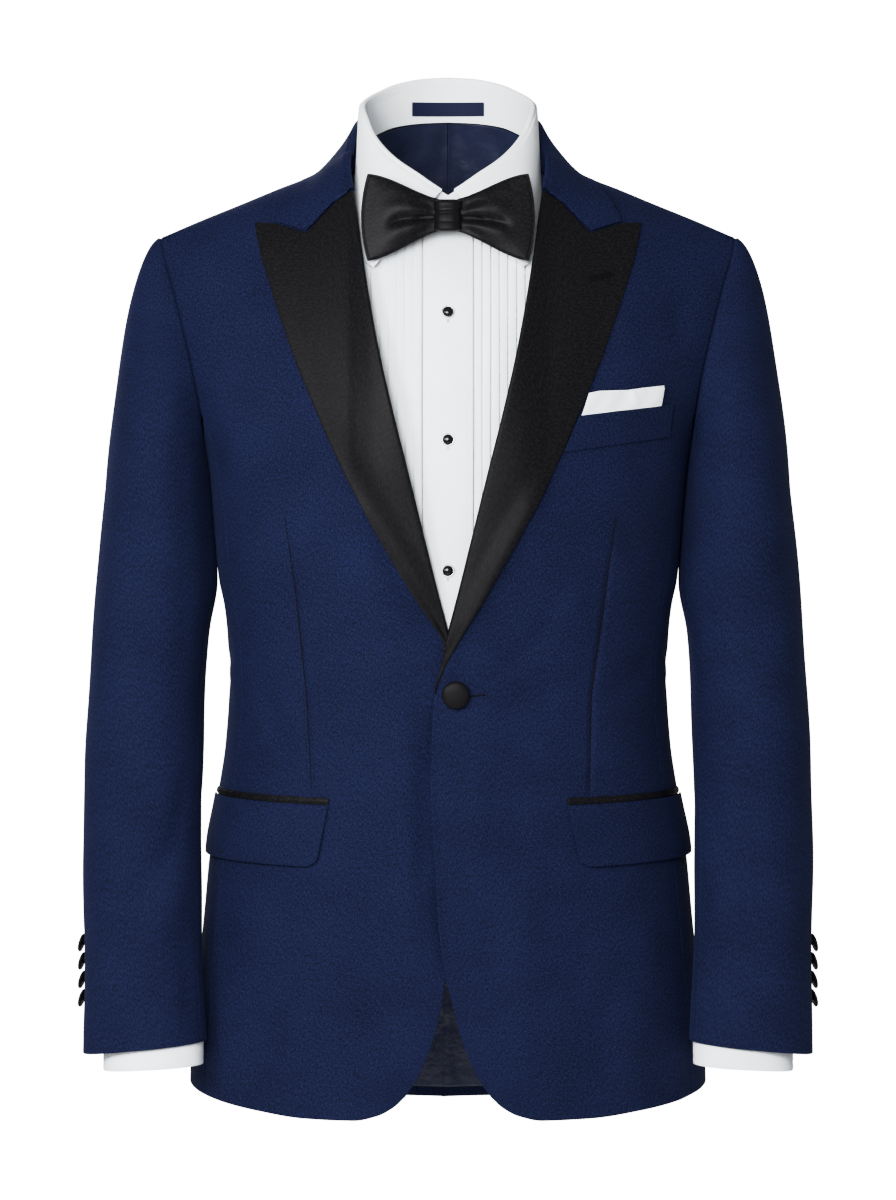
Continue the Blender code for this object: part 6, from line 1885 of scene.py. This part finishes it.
def wool_material():
    """A fine worsted: threads of slightly different navy, a soft twill and a little nap."""
    m = Nodes("navy_wool")
    fine = m.noise(m.cloth_place((0.35, 1.0, 1)), 1400, 1.0, 0.6)
    threads = m.noise(m.cloth_place((1.0, 0.3, 1)), 1400, 1.0, 0.6)
    broad = m.noise(m.object_place(), 22, 2.0)
    mixed = m.blend((fine, 0.45), (threads, 0.45), (broad, 0.1))
    colour = m.ramp(mixed, ((0.38, tuple(c * 0.42 for c in NAVY)), (0.5, NAVY),
                            (0.62, tuple(c * 1.9 + 0.0012 for c in NAVY))))
    twill = m.wave(m.cloth_place(turn=math.radians(58)), 420, 0.6)
    cross = m.wave(m.cloth_place(turn=math.radians(-32)), 520, 0.8)
    height = m.blend((twill, 0.6), (cross, 0.25), (threads, 0.5))
    soft = m.bump(m.noise(m.object_place(), 95, 3.0), 0.0006, 0.35)
    m.set(Base_Color=colour, Roughness=0.8, Sheen_Weight=0.05, Sheen_Roughness=0.4,
          Specular_IOR_Level=0.08, Normal=m.bump(height, 0.00025, 0.55, soft))
    m.shader.inputs["Sheen Tint"].default_value = (0.25, 0.4, 1.0, 1)
    return m.material


def satin_material(name, shine, smooth):
    """Black satin: fine ribs and a broad soft shine; the bow is smoother than the lapels."""
    m = Nodes(name)
    ribs = m.wave(m.cloth_place(turn=math.radians(90)), 330, 0.25)
    threads = m.noise(m.cloth_place((0.5, 1, 1)), 700, 2.0, 0.65)
    broad = m.noise(m.object_place(), 38, 2.0)
    colour = m.shades(threads, SATIN_BLACK, (0.32, 0.35), (0.5, 1), (0.68, 2.4))
    rough = m.uneven(broad, 0.1, smooth)
    height = m.blend((ribs, 0.6), (threads, 0.4))
    soft = m.bump(m.noise(m.object_place(), 70, 2.0), 0.0008, 0.3)
    m.set(Base_Color=colour, Roughness=rough, Specular_IOR_Level=shine,
          Normal=m.bump(height, 0.00012, 0.4, soft))
    return m.material


def lining_material():
    """Navy lining satin: smooth, with a soft silvery shine on its creases."""
    m = Nodes("navy_lining")
    threads = m.noise(m.cloth_place((1, 0.25, 1)), 1900, 2.0, 0.6)
    broad = m.noise(m.object_place(), 60, 3.0)
    colour = m.shades(threads, LINING_NAVY, (0.3, 0.75), (0.7, 1.3))
    creases = m.bump(broad, 0.003, 0.7)
    rough = m.uneven(broad, 0.14, 0.28)
    m.set(Base_Color=colour, Roughness=rough, Specular_IOR_Level=0.42,
          Normal=m.bump(threads, 0.0001, 0.3, creases))
    return m.material


def poplin_material():
    """White shirt poplin: a plain weave, faintly uneven."""
    m = Nodes("white_poplin")
    warp = m.wave(m.cloth_place(), 600, 0.4)
    weft = m.wave(m.cloth_place(turn=math.radians(90)), 480, 0.4)
    fine = m.noise(m.object_place(), 900, 2.0, 0.6)
    broad = m.noise(m.object_place(), 30, 2.0)
    shade = m.blend((fine, 0.5), (broad, 0.5))
    colour = m.shades(shade, WHITE, (0.3, 0.955), (0.7, 1.03))
    height = m.blend((warp, 0.5), (weft, 0.5))
    soft = m.bump(m.noise(m.object_place(), 80, 2.0), 0.0005, 0.25)
    m.set(Base_Color=colour, Roughness=0.78, Sheen_Weight=0.08, Specular_IOR_Level=0.3,
          Normal=m.bump(height, 0.00012, 0.35, soft))
    return m.material


def label_material():
    """A bare woven label: navy with fine ribs."""
    m = Nodes("navy_label")
    ribs = m.wave(m.cloth_place(turn=math.radians(90)), 500, 0.2)
    threads = m.noise(m.cloth_place((1, 0.4, 1)), 1500, 2.0, 0.6)
    colour = m.ramp(threads, ((0.3, (0.006, 0.011, 0.036)), (0.7, (0.012, 0.021, 0.062))))
    m.set(Base_Color=colour, Roughness=0.6, Specular_IOR_Level=0.15,
          Normal=m.bump(ribs, 0.00015, 0.5))
    return m.material


def thread_material(name, colour):
    m = Nodes(name)
    twist = m.noise(m.object_place(), 1700, 2.0)
    tint = m.shades(twist, colour, (0.3, 0.7), (0.7, 1.25))
    m.set(Base_Color=tint, Roughness=0.75, Specular_IOR_Level=0.12,
          Normal=m.bump(twist, 0.0002, 0.5))
    return m.material


def stud_material():
    """Black onyx: glossy, faintly clouded."""
    m = Nodes("black_stud")
    cloud = m.noise(m.object_place(), 260, 2.0)
    colour = m.ramp(cloud, ((0.35, (0.002, 0.002, 0.003)), (0.7, (0.005, 0.005, 0.006))))
    rough = m.uneven(cloud, 0.05, 0.07)
    m.set(Base_Color=colour, Roughness=rough, Specular_IOR_Level=0.45)
    return m.material


def rim_material():
    """The stud's thin silvery rim."""
    m = Nodes("stud_rim")
    brushed = m.noise(m.object_place(), 900, 2.0)
    rough = m.uneven(brushed, 0.15, 0.22)
    colour = m.ramp(brushed, ((0.3, (0.42, 0.42, 0.44)), (0.7, (0.62, 0.62, 0.64))))
    m.set(Base_Color=colour, Metallic=1.0, Roughness=rough)
    return m.material


def make_materials():
    return {
        "wool": wool_material(), "satin": satin_material("black_satin", 0.11, 0.42),
        "bow_satin": satin_material("black_bow_satin", 0.12, 0.36), "lining": lining_material(),
        "poplin": poplin_material(), "label": label_material(), "stud": stud_material(),
        "rim": rim_material(), "thread": thread_material("black_thread", (0.004, 0.004, 0.005)),
        "navy_thread": thread_material("navy_thread", (0.009, 0.017, 0.052)),
        "white_thread": thread_material("white_thread", (0.42, 0.43, 0.46)),
    }


# ---------------------------------------------------------------- floor, light and camera

FLOOR_Z = -1.42
FLOOR_REACH = 4.3
ROOM_LIGHT = 0.27
AIM = Vector((0, 0, -0.352))
CAMERA_DISTANCE = 6.0
CAMERA_RISE = math.radians(2)
LENS = 225
TONE_WHITE = 2.2                 # the light level that shows as plain white
TONE = ((0, 0), (0.05, 0.05), (0.3, 0.37), (0.62, 0.68), (1.0, 0.79), (1.4, 0.875), (1.8, 0.94),
        (2.2, 1.0))


def floor():
    corners = ((-1, -1), (1, -1), (1, 1), (-1, 1))
    mesh = bpy.data.meshes.new("floor")
    mesh.from_pydata([(x * FLOOR_REACH, y * FLOOR_REACH, FLOOR_Z) for x, y in corners], [],
                     [(0, 1, 2, 3)])
    m = Nodes("pale_floor")
    grain = m.noise(m.object_place(), 14, 3.0)
    m.set(Base_Color=m.ramp(grain, ((0.3, (0.80, 0.80, 0.80)), (0.7, (0.84, 0.84, 0.84)))),
          Roughness=0.9)
    mesh.materials.append(m.material)
    ground = bpy.data.objects.new("floor", mesh)
    bpy.context.scene.collection.objects.link(ground)


def area_light(name, place, target, size, power):
    light = bpy.data.lights.new(name, "AREA")
    light.shape = "DISK"
    light.size = size
    light.energy = power
    lamp = bpy.data.objects.new(name, light)
    lamp.location = place
    lamp.rotation_euler = (Vector(target) - Vector(place)).to_track_quat("-Z", "Y").to_euler()
    bpy.context.scene.collection.objects.link(lamp)


def light_and_camera():
    scene = bpy.context.scene
    world = bpy.data.worlds.new("studio")
    scene.world = world
    world.use_nodes = True
    tree = world.node_tree
    back = tree.nodes["Background"]
    back.inputs["Color"].default_value = (1.0, 1.0, 1.0, 1)
    back.inputs["Strength"].default_value = ROOM_LIGHT
    plain = tree.nodes.new("ShaderNodeBackground")
    plain.inputs["Color"].default_value = (1.0, 1.0, 1.0, 1)
    plain.inputs["Strength"].default_value = TONE_WHITE
    path = tree.nodes.new("ShaderNodeLightPath")
    choose = tree.nodes.new("ShaderNodeMixShader")
    tree.links.new(path.outputs["Is Camera Ray"], choose.inputs[0])
    tree.links.new(back.outputs[0], choose.inputs[1])
    tree.links.new(plain.outputs[0], choose.inputs[2])
    tree.links.new(choose.outputs[0], tree.nodes["World Output"].inputs["Surface"])
    area_light("key", (-1.3, -1.65, 0.25), (0, 0, -0.25), 0.8, 16)
    area_light("front_fill", (-0.45, -2.4, 0.3), (0, 0, -0.22), 1.1, 44)
    area_light("back_light", (-0.8, 2.4, 0.9), (0, 0, -0.35), 1.4, 22)
    area_light("side_fill", (3.2, -0.8, 0.9), (0, 0, -0.3), 1.6, 2)
    scene.view_settings.view_transform = "Standard"
    scene.view_settings.look = "None"
    scene.view_settings.use_curve_mapping = True
    tone = scene.view_settings.curve_mapping
    tone.use_clip = False
    curve = tone.curves[3]
    for place, value in TONE[1:-1]:
        curve.points.new(place / TONE_WHITE, value)
    curve.points[0].location = (0, 0)
    curve.points[-1].location = (1, 1)
    tone.white_level = (TONE_WHITE, TONE_WHITE, TONE_WHITE)
    tone.update()
    camera = bpy.data.cameras.new("camera")
    camera.lens = LENS
    camera.sensor_width = 36
    camera.sensor_fit = "AUTO"
    camera.clip_start, camera.clip_end = 0.1, 100
    eye = bpy.data.objects.new("camera", camera)
    eye.location = (0, -CAMERA_DISTANCE * math.cos(CAMERA_RISE),
                    AIM.z + CAMERA_DISTANCE * math.sin(CAMERA_RISE))
    eye.rotation_euler = (AIM - eye.location).to_track_quat("-Z", "Y").to_euler()
    scene.collection.objects.link(eye)
    scene.camera = eye


# ---------------------------------------------------------------- the whole set


def build():
    cloth = make_materials()
    for side in (1, -1):
        front_panel(side, cloth)
        side_panel(side, cloth)
        back_panel(side, cloth)
        back_lining(side, cloth)
        sleeve(side, cloth)
        lapel(side, cloth)
        pocket(side, cloth)
        sleeve_buttons(side, cloth)
        shirt_cuff(side, cloth)
    seamed_dart_shades(cloth)
    collar(cloth)
    breast_pocket(cloth)
    front_button(cloth)
    shirt_collar(cloth)
    shirt_front(cloth)
    studs(cloth)
    bow(cloth)
    stitched_loop("lapel_buttonhole", (110.2, -97.5), (129.0, -92.8), 3.4 * MM,
                  SATIN_HEIGHT + 0.9 * MM, 0.3, cloth["thread"], cloth["thread"])
    stitched_loop("front_buttonhole", (15.5, -423.5), (30, -422), 3.4 * MM,
                  FRONT_SHIFT + 0.25 * MM, 1, cloth["navy_thread"], cloth["thread"], 0.5 * MM)


build()
floor()
light_and_camera()
